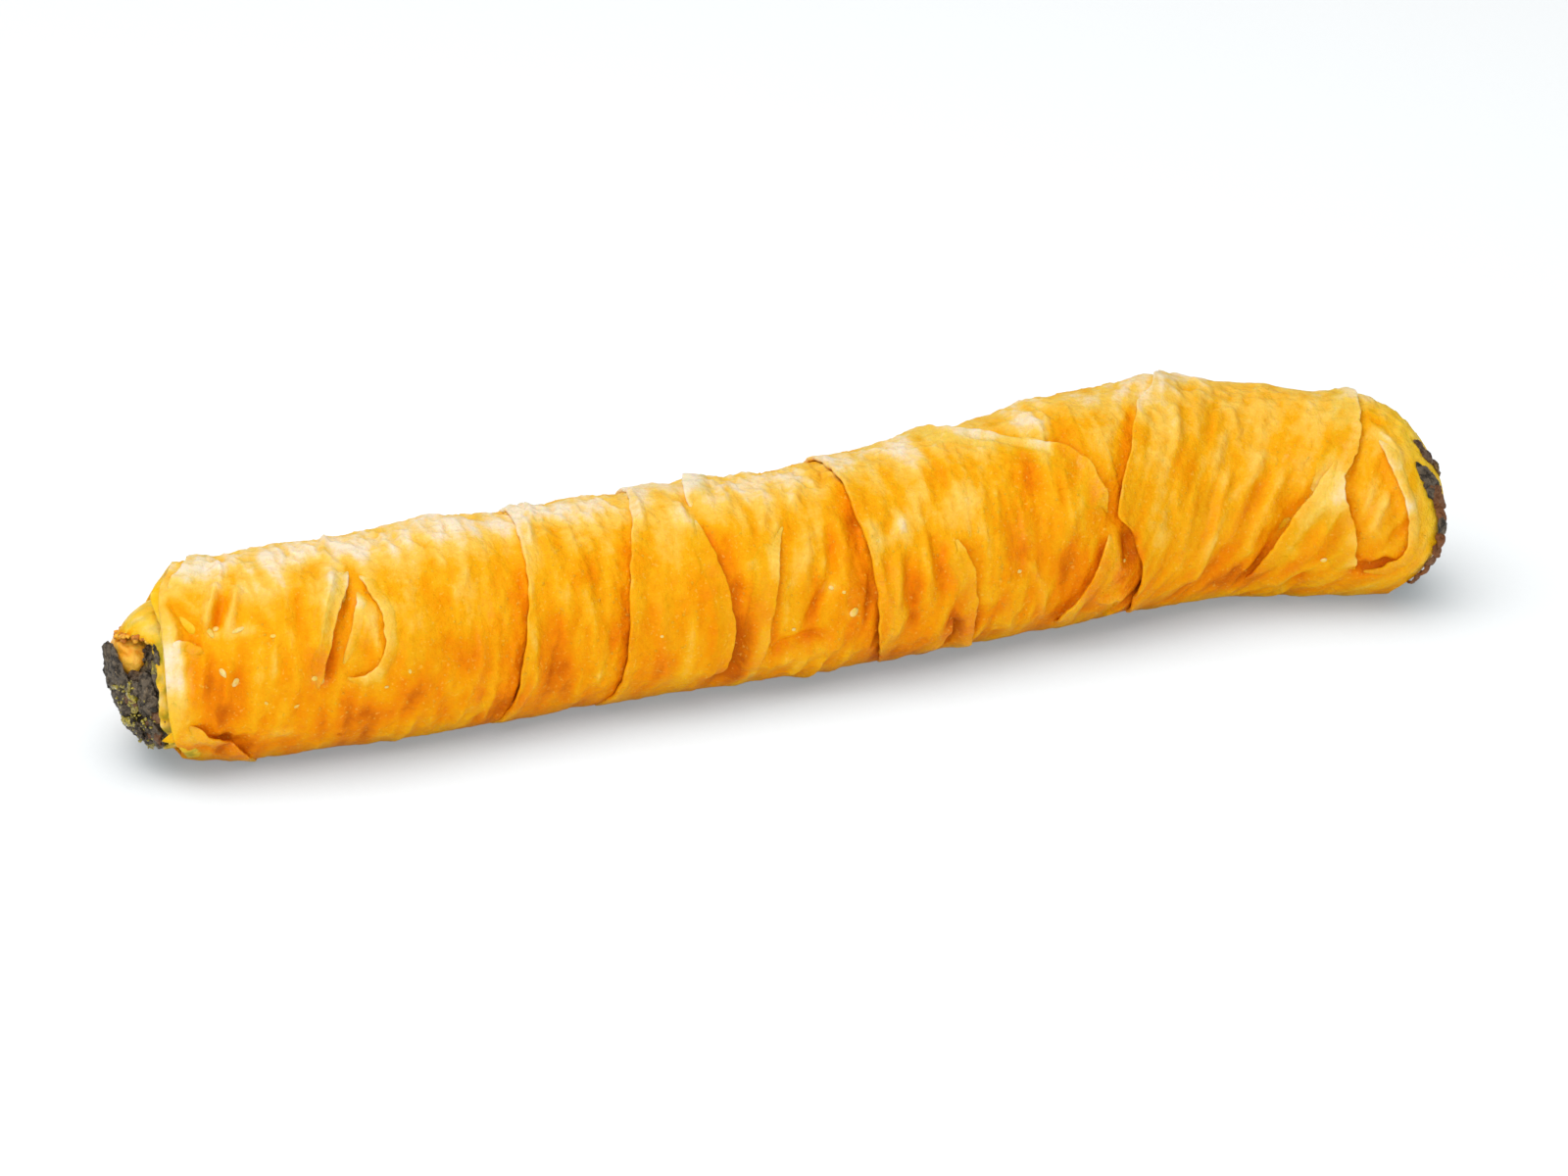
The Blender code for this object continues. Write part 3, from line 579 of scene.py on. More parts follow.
def fold_fields(along, degrees):
    """Height of the folds inside the turns, and how much browner and paler each one makes the sheet, in
    toasting and in painted shade and highlight.
    """
    around = turn_from(0.0, degrees) * ARC
    height = np.zeros(np.shape(along))
    brown_and_shade = np.zeros(np.shape(along))
    pale_and_highlight = np.zeros(np.shape(along))
    for middle, direction, rise, length, reach in PUFFS:
        height += rise * np.exp(-(((along - middle) / length) ** 2)) * bump(direction, reach, degrees)
    share = edge_share(degrees)
    for fold in FREE_EDGES.values():
        signed, travelled, length = measure(fold["path"], along, around, FOLD_REACH)
        ahead = signed * fold["over"]
        fade = smooth_step(np.minimum(travelled, length - travelled) / fold["fade"])
        fade = np.where(np.abs(signed) < FAR, fade, 0.0)
        face = smooth_step(ahead / FACE_WIDTH - 0.3)
        tail = np.exp(-np.clip(ahead, 0.0, 60.0) / fold["tail"])
        valley = np.exp(-((np.clip(ahead, -60.0, 0.0) / VALLEY_WIDTH) ** 2)) * (1 - face)
        height += share * fold["rise"] * fade * (face * tail - fold["valley"] * valley)
        # Browner in the valley before a fold's face, under its lip: partly toasting, partly painted shade.
        brown_and_shade += fold["brown_and_shade"] * fade * (1 - face) * np.exp(-((np.clip(ahead, -60.0, 0.0) / 1.2) ** 2))
        # Paler on a fold's face: painted highlight where the step catches the light.
        pale_and_highlight += fold["pale_and_highlight"] * fade * face * np.exp(-np.clip(ahead, 0.0, 60.0) / 0.8)
    for fold in CREASES:
        signed, travelled, length = measure(fold["path"], along, around, 4 * fold["width"])
        fade = smooth_step(np.minimum(travelled, length - travelled) / fold["fade"])
        line = fade * np.exp(-((np.clip(signed, -60, 60) / fold["width"]) ** 2))
        height += CREASE_GAIN * fold["height"] * line
        # Along a crease, grooves are made browner and ridges paler: partly toasting, partly painted shade in
        # the grooves and painted highlight on the ridges.
        brown_and_shade += fold["brown_and_shade"] * line
        pale_and_highlight += fold["pale_and_highlight"] * line
    return height, brown_and_shade, pale_and_highlight


def slanted(along, degrees):
    """Moves patterns along the roll as they run round it, so that they lie as the sheet was wound."""
    turned = np.interp(turn_from(0.0, degrees), (-180.0, -130.0, 157.0, 180.0), (0.0, -130.0, 157.0, 0.0))
    return along + np.where(along > 50, 0.16, 0.03) * turned


def wrinkles(along, degrees):
    """Slack of the sheet: waves that run round the roll, and sharp little crumples over its crest."""
    slanting = slanted(along, degrees)
    gathered = 0.35 + 0.9 * smooth_step(0.5 + 1.3 * roll_noise(along, degrees, 9.0, 14.0, seed=2))
    gathered = gathered * (1 - 0.35 * bump(-25, 45, degrees))
    broad = 0.42 * roll_noise(slanting, degrees, 6.5, 16.0, seed=3)
    pleats = 0.34 * (0.6 - 2.2 * np.abs(roll_noise(slanting, degrees, 4.2, 13.0, seed=5)))
    middling = 0.28 * roll_noise(slanting, degrees, 1.9, 5.0, seed=6)
    fine = 0.10 * roll_noise(slanting, degrees, 0.9, 2.4, seed=8)
    crisp = 0.16 * (0.5 - 1.9 * np.abs(roll_noise(slanting, degrees, 2.0, 8.0, seed=9)))
    ridged = 0.7 - 2.2 * np.abs(roll_noise(along, degrees, 2.4, 3.0, seed=11))
    sharp = 0.7 - 2.2 * np.abs(roll_noise(along, degrees, 1.1, 1.7, seed=12))
    crumpled = smooth_step(0.6 + 0.9 * roll_noise(along, degrees, 10.0, 10.0, seed=14))
    crumpled = crumpled * (0.3 + 0.7 * bump(-5, 40, degrees))
    return broad + gathered * (pleats + crisp + middling + fine) + crumpled * (0.34 * ridged + 0.20 * sharp)


def edge_of_turn(number, degrees):
    """Where this turn begins along the roll. The number after the last turn's gives the right rim."""
    if number == 0:
        return left_rim_edge(degrees)
    if number > len(TURNS):
        return right_rim_edge(degrees)
    stations = TURNS[number - 1]["edge"]
    one_turn = [(direction + turn, along) for turn in (-360, 0, 360) for direction, along in stations]
    degrees = turn_from(0.0, degrees)
    ragged = 0.22 * roll_noise(3.0 * number + 0 * degrees, degrees, 1.0, 2.2, seed=21)
    return through(one_turn, degrees) + ragged


def slant_of_turn(number, degrees):
    """Turns a distance along the roll into one square to the turn's edge."""
    gap = edge_of_turn(number, degrees + 2.0) - edge_of_turn(number, degrees - 2.0)
    return 1.0 / np.hypot(1.0, gap / (4.0 * ARC))


def sheet_fields(number, along, degrees):
    """Height over the girth, and browner, paler amounts, on one turn of the sheet, tucked part included. These
    amounts carry painted shade and highlight as well as toasting.
    """
    height, brown_and_shade, pale_and_highlight = fold_fields(along, degrees)
    height = height + wrinkles(along, degrees)
    from_left = smooth_step((along - LEFT_RIM + 1) / CALM_LENGTH)
    from_right = smooth_step((RIGHT_RIM + 1 - along) / CALM_LENGTH)
    height = height * (from_left * from_right)
    share = edge_share(degrees)
    # How much a place faces the light from above: most over the crest.
    lit_from_above = 0.2 + 0.8 * bump(0, 42, degrees)
    if number > 0:
        turn = TURNS[number - 1]
        ahead = (along - edge_of_turn(number, degrees)) * slant_of_turn(number, degrees)
        ahead = np.clip(ahead, 0.0, 60.0)
        curl = turn["curl"] * (1 + 1.2 * roll_noise(along * 0 + number, degrees, 1.0, 4.0, seed=24))
        step = turn["rise"] * np.exp(-ahead / LAP_FADE) + curl * np.exp(-ahead / CURL_FADE)
        height = height + share * step
        # Paler along this turn's free edge, most over the crest: painted highlight where the edge catches the
        # light.
        pale_and_highlight = pale_and_highlight + 0.8 * lit_from_above * np.exp(-ahead / 0.8)
    if number < len(TURNS):
        turn = TURNS[number]
        before = (edge_of_turn(number + 1, degrees) - along) * slant_of_turn(number + 1, degrees)
        clear = np.clip(before, 0.0, 60.0)
        near = np.exp(-((clear / VALLEY_WIDTH) ** 2))
        height = height - LAP_VALLEY * share * turn["rise"] * near
        height = height - TUCK_DEPTH * smooth_step(-before / (0.7 * TUCK))
        # Browner just before the next turn's edge, under its lip, and least where the light from above falls:
        # partly toasting, partly painted shade.
        brown_and_shade = brown_and_shade + 1.4 * turn["brown_and_shade"] * (1.1 - lit_from_above) * np.exp(-((clear / 1.7) ** 2))
    pressed = 1 - PRESSED_SHARE * bump(180, PRESSED_DEGREES, degrees)
    return height * pressed, brown_and_shade, pale_and_highlight


def toast_fields(along, degrees, brown_and_shade, pale_and_highlight):
    """How toasted the sheet is, from 0 (cream) over 0.5 (gold) to 1 (brown), how yellow and how glossy. The
    toast also carries painted shade and painted highlight.
    """
    # Toast by direction round the roll: partly the sheet's own browning, deepest underneath, and partly painted
    # shade, darker from the crest down the front and round the back.
    toast_and_shade_by_direction = [
        (-180, 0.62), (-130, 0.60), (-90, 0.50), (-45, 0.34), (-15, 0.27), (5, 0.30), (22, 0.41), (45, 0.48),
        (70, 0.53), (95, 0.60), (120, 0.66), (150, 0.66), (180, 0.62),
    ]
    toast = through(toast_and_shade_by_direction, turn_from(0.0, degrees))
    toast = toast - 0.05 * smooth_step((along - 50) / 20)
    brown_and_shade = brown_and_shade + SPOT_GAIN * spots(BROWN_AND_SHADE_SPOTS, along, degrees)
    pale_and_highlight = pale_and_highlight + spots(PALE_AND_HIGHLIGHT_SPOTS, along, degrees)
    golden = np.clip(spots(GOLDEN_SPOTS, along, degrees), 0, 1)
    yellow = np.clip(spots(YELLOW_AND_LIT_SPOTS, along, degrees), 0, 1)
    slanting = slanted(along, degrees)
    patchy = roll_noise(slanting, degrees, 5.0, 9.0, seed=31)
    streaky = roll_noise(slanting, degrees, 1.7, 6.5, seed=33)
    thready = roll_noise(slanting, degrees, 0.8, 2.6, seed=35)
    # The patchy, streaky and thready noise is the sheet's own uneven toasting. Taking off the wrinkles' height
    # paints shade into their hollows and light onto their ridges.
    toast = toast + 0.15 * patchy + 0.14 * streaky + 0.04 * thready - 0.26 * wrinkles(along, degrees)
    # Paler toward cream: partly the sheet's own paler, drier places, and partly painted sheen over the crest
    # and painted highlight on ridges and free edges.
    cream_and_highlight = 0.26 * (1 - np.exp(-1.3 * pale_and_highlight)) + 0.10 * np.clip(pale_and_highlight - 1.0, 0, 2.5)
    toast = toast + 0.36 * (1 - np.exp(-1.1 * brown_and_shade)) - cream_and_highlight
    toast = toast + (0.43 - toast) * 0.8 * golden
    # Paler and yellower at the yellow spots: the sheet's own colour, and at the right end painted light as
    # well.
    toast = toast + (0.28 - toast) * 0.7 * yellow
    sheen = np.clip(1 - np.exp(-1.2 * pale_and_highlight), 0, 1) * (1 - golden)
    return {"toast": np.clip(toast, 0, 1), "yellow": yellow, "golden": golden, "sheen": sheen}


# --- Meshes -----------------------------------------------------------------------------------------

def link(data, material):
    """A mesh's object, linked to the scene in this material."""
    data.materials.append(material)
    piece = bpy.data.objects.new(data.name, data)
    bpy.context.scene.collection.objects.link(piece)
    return piece


def sheet_mesh(name, points, faces, material, looks):
    """A mesh from mm points and arrays of quads or triangles, with a value of each look on every vertex."""
    data = bpy.data.meshes.new(name)
    data.vertices.add(len(points))
    data.vertices.foreach_set("co", ((points + SHIFT) * MM).ravel())
    corners = np.concatenate([group.ravel() for group in faces])
    sizes = np.concatenate([np.full(len(group), group.shape[1]) for group in faces])
    data.loops.add(len(corners))
    data.loops.foreach_set("vertex_index", corners.astype(np.int32))
    data.polygons.add(len(sizes))
    data.polygons.foreach_set("loop_start", (np.cumsum(sizes) - sizes).astype(np.int32))
    data.update(calc_edges=True)
    data.shade_smooth()
    for look, values in looks.items():
        attribute = data.attributes.new(look, "FLOAT", "POINT")
        attribute.data.foreach_set("value", np.asarray(values, np.float32).ravel())
    return link(data, material)


def grid_quads(rows, columns, closed_rows=False, closed_columns=False):
    """The quads between neighbours of a grid of points, whose ends may meet either way."""
    row = np.arange(rows if closed_rows else rows - 1)[:, None]
    column = np.arange(columns if closed_columns else columns - 1)[None, :]
    next_row, next_column = (row + 1) % rows, (column + 1) % columns
    corners = (row * columns + column, row * columns + next_column, next_row * columns + next_column,
               next_row * columns + column)
    return np.stack([np.broadcast_to(c, (row.size, column.size)) for c in corners], -1).reshape(-1, 4)


def strip_mesh(name, top, bottom, material, looks, flip):
    """A closed strip. Row by row, top runs in from the free edge, and bottom, one point less, under it."""
    rings = np.concatenate([top, bottom[:, ::-1]], axis=1)
    rows, columns = rings.shape[:2]
    quads = [grid_quads(rows, columns, closed_columns=True)]
    tips = []
    for start, turned in ((0, True), ((rows - 1) * columns, False)):
        k = np.arange(1, top.shape[1] - 1)
        cap = start + np.stack([k, k + 1, columns - k - 1, columns - k], axis=-1)
        tip = start + np.array([[0, 1, columns - 1]])
        quads.append(cap[:, ::-1] if turned else cap)
        tips.append(tip[:, ::-1] if turned else tip)
    faces = [np.concatenate(quads), np.concatenate(tips)]
    if flip:
        faces = [group[:, ::-1] for group in faces]
    return sheet_mesh(name, rings.reshape(-1, 3), faces, material, looks)


def rounded(ahead, thickness):
    """How far a sheet's faces draw in towards its middle near a free edge."""
    inside = np.clip(1 - 2 * ahead / thickness, 0, 1)
    return thickness / 2 * (1 - np.sqrt(1 - inside**2))


# A sheet's rows of points: shares of its thickness in from a rounded edge, mm in from it on the inner face, how
# many more there, and mm apart on the outer face.
ROUNDING = np.array([0.0, 0.035, 0.14, 0.3, 0.5])
INNER_STEPS = np.array([0.03, 0.12, 0.26, 0.5, 1.2, 2.0, 3.4, 5.0])
INNER_ROWS = 9
ROW_STEP = 0.3

# A turn is backed by the sheets under it: its inner face lies this much deeper, away from its edges.
BACKING = 1.0
BACKING_FROM = 2.0
BACKING_FADE = 3.0

# How far a lip stands proud of its fold and off the table, and a tucked turn off the table.
LIP_PROUD = 0.1
LIP_CLEARANCE = 0.06
TUCK_CLEARANCE = 0.9


def columns_round():
    """Directions of the mesh's columns: close together in front and over the crest, wider apart behind."""
    front = np.arange(-60.0, 150.0, 1.05)
    back = np.arange(150.0, 300.0, 2.0)
    return np.concatenate([front, back])


def closed_rings(name, points, material, looks):
    """A closed ring of sheet from rows of points that run along its outside and back along its inside."""
    quads = grid_quads(*points.shape[:2], closed_rows=True, closed_columns=True)
    return sheet_mesh(name, points.reshape(-1, 3), [quads], material, looks)


def blister_share(along, degrees):
    """How densely blisters cover the sheet: in patches, and least over the crest."""
    patchy = smooth_step(0.45 + 1.1 * roll_noise(along, degrees, 7.0, 8.0, seed=51))
    return patchy * (0.25 + 0.75 * bump(80, 50, degrees)) * (1 - bump(180, 40, degrees))


def turn_of_sheet(number, material):
    """One turn of the sheet: a closed shell from its free edge to where it is tucked under the next turn."""
    degrees = columns_round()
    start = edge_of_turn(number, degrees)
    last = number == len(TURNS)
    stop = edge_of_turn(number + 1, degrees) + (0.0 if last else TUCK)
    rows = int((stop - start).mean() / ROW_STEP)
    share = np.linspace(0, 1, rows)[1:, None]
    rim = ROUNDING * TURN_SHEET
    outer = np.concatenate([start + rim[:, None], start + rim[-1] + share * (stop - start - rim[-1])])
    share = np.linspace(0, 1, INNER_ROWS)[1:, None]
    beyond = start + INNER_STEPS[-1] + share * (stop - start - INNER_STEPS[-1])
    inner = np.concatenate([start + INNER_STEPS[:, None], beyond])
    if last:
        outer = np.concatenate([outer[:-2], stop - rim[::-1, None]])
        inner = np.concatenate([inner[:-1], stop - INNER_STEPS[:4][::-1, None]])
    deep = smooth_step((inner - start - BACKING_FROM) / BACKING_FADE)
    if last:
        deep = deep * smooth_step((stop - inner - BACKING_FROM) / BACKING_FADE)
    rounding = rounded(outer - start, TURN_SHEET)
    depth = TURN_SHEET + BACKING * deep - rounded(inner - start, TURN_SHEET)
    if last:
        rounding = rounding + rounded(stop - outer, TURN_SHEET)
        depth = depth - rounded(stop - inner, TURN_SHEET)
    along = np.concatenate([outer, inner[::-1]])
    depth = np.concatenate([rounding, depth[::-1]])
    grid = np.broadcast_to(degrees, along.shape)
    height, brown_and_shade, pale_and_highlight = sheet_fields(number, along, grid)
    tucked = 0.0
    if not last:
        tucked = TUCK_CLEARANCE * smooth_step((along - edge_of_turn(number + 1, degrees)) / 0.5)
    points = ring_points(along, grid, girth(along) + height - depth, lowest=depth + tucked)
    looks = toast_fields(along, grid, brown_and_shade, pale_and_highlight)
    looks["spread"] = np.zeros(along.shape)
    looks["spread"][4:rows] = blister_share(along, grid)[4:rows]
    name = "first_turn" if number == 0 else TURNS[number - 1]["name"]
    return closed_rings(name, points, material, looks)


def turn_under(along, degrees):
    """The number of the turn that is on top at a place."""
    degrees = np.array(float(degrees))
    edges = [float(edge_of_turn(number, degrees)) for number in range(1, len(TURNS) + 1)]
    return sum(int(along > edge) for edge in edges)


def free_strip(name, fold, material):
    """The lip along a free edge: it hangs out past the fold's face, and melts into the sheet behind."""
    path = path_of(fold["points"], step=0.35)
    tangent = np.gradient(path, axis=0)
    tangent /= np.hypot(*tangent.T)[:, None]
    square = np.stack([tangent[:, 1], -tangent[:, 0]], axis=-1) * fold["over"]
    travelled = np.concatenate([[0.0], np.cumsum(np.hypot(*np.diff(path, axis=0).T))])
    fade = smooth_step(np.minimum(travelled, travelled[-1] - travelled) / fold["fade"])[:, None]
    share = edge_share(path[:, 1] / ARC)[:, None]
    places = np.stack([path[:, 0], path[:, 1], 0 * travelled], -1)
    ragged = 0.3 * noise_at(places, 2.6, 41) + 0.15 * noise_at(places, 0.9, 43)
    overhang = (fold["overhang"] + ragged[:, None]) * fade * share
    curl = fold["lift"] * (1 + 1.3 * noise_at(places, 3.4, 47)[:, None]) * fade * share
    width = fold["width"]
    rim = ROUNDING * SHEET
    steps = np.concatenate([rim, np.linspace(rim[-1], width + fold["overhang"], int(width / 0.4))[1:]])
    middle = path[len(path) // 2]
    number = turn_under(middle[0], middle[1] / ARC)

    def face(from_edge, depth):
        across = from_edge - overhang
        plan = path[:, None] + square[:, None] * across[..., None]
        rest = path[:, None] + square[:, None] * np.maximum(across, 0.75)[..., None]
        height, brown_and_shade, pale_and_highlight = sheet_fields(number, rest[..., 0], rest[..., 1] / ARC)
        sink = 0.35 * smooth_step((from_edge - 0.35 * width) / (0.6 * width))
        proud = LIP_PROUD + curl * np.exp(-from_edge / 1.1) - sink - 0.6 * (1 - fade)
        radius = girth(plan[..., 0]) + height + proud - depth
        # Paler along the lip's edge: painted highlight where the thin edge catches the light and lets it
        # through.
        pale_and_highlight = pale_and_highlight + fold["pale_and_highlight"] * np.exp(-from_edge / 0.7)
        looks = toast_fields(rest[..., 0], rest[..., 1] / ARC, 0 * brown_and_shade, pale_and_highlight)
        return ring_points(plan[..., 0], plan[..., 1] / ARC, radius, lowest=depth + LIP_CLEARANCE), looks

    under = steps[1:]
    top, top_looks = face(steps, rounded(steps, SHEET))
    bottom, bottom_looks = face(under, SHEET * (1 - 0.6 * under / under[-1]) - rounded(under, SHEET))
    looks = {
        look: np.concatenate([values, bottom_looks[look][:, ::-1]], axis=1)
        for look, values in top_looks.items()
    }
    return strip_mesh(name, top, bottom, material, looks, flip=fold["over"] > 0)


# --- The mouths -------------------------------------------------------------------------------------

# The ends of the inner turns, seen in both mouths: mm in from the rim's outside, lowest mm over the table,
# sag, and mm that the top stands out over the left mouth, or with a negative number lies back.
INNER_TURNS = [(0.95, 0.75, 1.037, 2.1), (1.65, 1.35, 1.018, 1.5), (2.55, 1.95, 1.0, -3.5)]

# Thin rings of sheet in the mouths: thicknesses, mm into the roll, mm off the table, rows and columns.
INNER_SHEET = 0.45
COLLAR_SHEET = 0.6
INNER_DEPTH = 6.0
COLLAR_LOWEST = 0.5
RING_ROUNDING = np.array([0.0, 0.05, 0.15, 0.3])
RING_ROWS = 22
RING_STEP = 1.5


def ring_sheet(name, edge, back, outside, inside, lowest, material, looks, sag=SIDE_SAG):
    """A thin ring of sheet with a rounded edge. outside and inside give its radii at (mm along, degrees)."""
    degrees = np.arange(0.0, 360.0, RING_STEP)
    edge = edge(degrees)
    towards = np.sign(back - edge.mean())
    share = np.linspace(0, 1, RING_ROWS)[1:, None]
    deep = edge + towards * RING_ROUNDING[-1] + share * (back - edge - towards * RING_ROUNDING[-1])
    outer = np.concatenate([edge + towards * RING_ROUNDING[:, None], deep])
    inner = outer[1:]
    pinch = 0.2 * np.exp(-np.abs(outer - edge) / 0.1)
    along = np.concatenate([outer, inner[::-1]])
    grid = np.broadcast_to(degrees, along.shape)
    radius = np.concatenate([outside(outer, degrees) - pinch, (inside(inner, degrees) + pinch[1:])[::-1]])
    floors = np.concatenate([np.full(outer.shape, lowest), np.full(inner.shape, lowest + INNER_SHEET)])
    points = ring_points(along, grid, radius, sag, floors)
    values = looks(along, grid, np.abs(along - edge))
    if towards < 0:
        points = points[:, ::-1]
        values = {look: value[:, ::-1] for look, value in values.items()}
    return closed_rings(name, points, material, values)


def inner_turn(name, rim, towards, depth, lowest, sag, stand, seed, material):
    """The end of an inner turn, ragged and a little inside the rim, or standing out of it at the top."""
    def edge(degrees):
        ragged = 0.7 * roll_noise(seed + 0 * degrees, degrees, 1.0, 5.0, seed)
        ragged = ragged + 0.3 * roll_noise(seed + 0 * degrees, degrees, 1.0, 1.6, seed + 1)
        top = bump(-2, 26, degrees)
        recess = 0.5 + ragged * (1 - 0.9 * top) - stand * top
        return rim(degrees) + towards * recess

    def outside(along, degrees):
        waves = 0.16 * roll_noise(along / 6, degrees, 1.0, 5.0, seed + 2)
        return girth(along) - depth + waves

    def looks(along, degrees, from_edge):
        toast = 0.42 + 0.2 * roll_noise(along, degrees, 2.0, 2.5, seed + 3) - 0.16 * np.exp(-from_edge / 0.5)
        sheen = 0.3 * np.exp(-from_edge / 0.4)
        # Olive on the inner turn, least at the top: spinach juice stain, with painted shade in the mouth's
        # lower and side parts.
        stain = (1 - bump(0, 70, degrees)) * smooth_step(0.5 + roll_noise(along, degrees, 1.2, 2.0, seed + 4))
        return {"toast": toast, "yellow": np.full(along.shape, 0.9), "sheen": sheen, "stain": stain}

    def inside(along, degrees):
        return outside(along, degrees) - INNER_SHEET

    back = (LEFT_RIM if towards > 0 else RIGHT_RIM) + towards * INNER_DEPTH
    return ring_sheet(name, edge, back, outside, inside, lowest, material, looks, sag)


def inner_turns(material):
    """The ends of the inner turns at both mouths."""
    made = []
    for k, (depth, lowest, sag, stand) in enumerate(INNER_TURNS):
        left = (f"left_inner_turn_{k + 1}", left_rim_edge, +1, depth, lowest, sag, stand, 53 + k)
        right = (f"right_inner_turn_{k + 1}", right_rim_edge, -1, depth, lowest, sag, 0.0, 57 + k)
        made.append(inner_turn(*left, material))
        made.append(inner_turn(*right, material))
    return made


def collar(material):
    """The innermost turn, out of the left mouth and drooping over the cheese, browned along its edge."""
    def edge(degrees):
        ragged = 0.35 * roll_noise(0 * degrees, degrees, 1.0, 2.4, 61)
        ragged = ragged + 0.15 * roll_noise(0 * degrees, degrees, 1.0, 0.9, 62)
        return left_collar_edge(degrees) + ragged

    def inside(along, degrees):
        rim = left_bore_edge(degrees)
        out = np.clip((rim + 0.6 - along) / np.maximum(rim - left_collar_edge(degrees), 0.3), 0, 1.1)
        puff = 0.5 * np.sin(np.pi * np.clip(out, 0, 1)) * bump(-15, 60, degrees)
        folds = 0.24 * roll_noise(along / 2.5, degrees, 1.0, 3.2, 63) * smooth_step(out)
        return bore_radius(along) - mouth_draw(degrees) * (0.36 + 0.64 * out**1.9) + puff + folds

    def looks(along, degrees, from_edge):
        over = bump(-12, 40, degrees)
        patchy = smooth_step(0.8 + 1.3 * roll_noise(along, degrees, 1.0, 1.3, 64))
        browned = np.exp(-((from_edge / 0.7) ** 2)) * patchy
        toast = 0.26 + 0.24 * roll_noise(along, degrees, 1.6, 2.6, 65) + 0.8 * browned * over
        yellow = 0.6 * (1 - browned) + 0.35 * (1 - over)
        # Olive where spinach juice stains the collar. It is stronger on its sides and underside than over its
        # top, so it paints shade there too.
        stained = smooth_step(0.45 + 1.1 * roll_noise(along, degrees, 1.4, 1.8, 66))
        stain = stained * (1.0 - 0.75 * bump(0, 40, degrees))
        return {"toast": toast, "yellow": yellow, "sheen": 0.1 + 0.25 * over, "stain": stain}

    def outside(along, degrees):
        return inside(along, degrees) + COLLAR_SHEET

    back = LEFT_RIM + INNER_DEPTH
    return ring_sheet("collar", edge, back, outside, inside, COLLAR_LOWEST, material, looks, sag=1.0)


def right_lip(material):
    """The innermost turn at the right mouth, ragged and browned."""
    def edge(degrees):
        recess = 0.7 + 0.6 * roll_noise(0 * degrees, degrees, 1.0, 3.0, 67)
        return right_rim_edge(degrees) - recess

    def looks(along, degrees, from_edge):
        toast = 0.38 + 0.4 * np.exp(-from_edge / 0.5) + 0.16 * roll_noise(along, degrees, 2.0, 2.0, 68)
        stain = smooth_step(0.4 + roll_noise(along, degrees, 1.4, 1.8, 69))
        yellow = np.full(along.shape, 0.8)
        return {"toast": toast, "yellow": yellow, "sheen": np.zeros(along.shape), "stain": stain}

    def inside(along, degrees):
        return bore_radius(along) + 0 * degrees

    def outside(along, degrees):
        return inside(along, degrees) + COLLAR_SHEET

    back = RIGHT_RIM - INNER_DEPTH
    return ring_sheet("right_lip", edge, back, outside, inside, COLLAR_LOWEST, material, looks, sag=1.0)


# --- Filling ----------------------------------------------------------------------------------------

# The core's rings: shares of the way out over the left mound, how many between, shares over the right mound,
# and degrees between their points.
LEFT_SHARES = np.linspace(0.06, 1.0, 24)
CORE_RINGS = 30
RIGHT_SHARES = np.linspace(1.0, 0.06, 18)
CORE_STEP = 2.5


def left_mound(share, degrees):
    """The left mound at a share of the way out from its middle, fuller under the axis than over it."""
    top = np.cos(np.radians(degrees))
    lower = MOUND_OVER_SHARE + (1 - MOUND_OVER_SHARE) * (1 - smooth_step(top * share * 1.6))
    return LEFT_RIM + LEFT_MOUND_SEAT - LEFT_MOUND * (1 - share**MOUND_FULLNESS) * lower


def right_mound(share):
    """The right mound at a share of the way out from its middle."""
    return RIGHT_RIM + RIGHT_MOUND * np.cos(share * np.pi / 2) - 2 * FIT_GAP


def capped_rings(name, forms, material, looks):
    """Closed forms, each of rings of points with one point at the middle of either end."""
    count, rows, columns = forms.shape[:3]
    k = np.arange(columns)
    after = (k + 1) % columns
    first = np.stack([after, k, np.full(columns, rows * columns)], -1)
    end = (rows - 1) * columns
    last = np.stack([end + k, end + after, np.full(columns, rows * columns + 1)], -1)
    starts = np.arange(count)[:, None, None] * (rows * columns + 2)
    groups = (grid_quads(rows, columns, closed_columns=True), first, last)
    faces = [(starts + group).reshape(-1, group.shape[1]) for group in groups]

    def with_ends(values):
        """Each form's values, with the mean of its first and of its last ring after them."""
        middles = values[:, [0, -1]].mean(axis=2).reshape(count, 2, -1)
        return np.concatenate([values.reshape(count, rows * columns, -1), middles], axis=1)

    looks = {look: with_ends(np.broadcast_to(values, forms.shape[:3])) for look, values in looks.items()}
    return sheet_mesh(name, with_ends(forms).reshape(-1, 3), faces, material, looks)


def unit_ball(polar_step, round_step):
    """Rings of points over a ball of radius 1, about its X axis."""
    polar = np.radians(np.arange(polar_step / 2, 180.0, polar_step))[:, None]
    turned = np.radians(np.arange(0.0, 360.0, round_step))[None, :]
    sides = (-np.cos(polar), np.sin(polar) * np.cos(turned), np.sin(polar) * np.sin(turned))
    return np.stack(np.broadcast_arrays(*sides), -1)


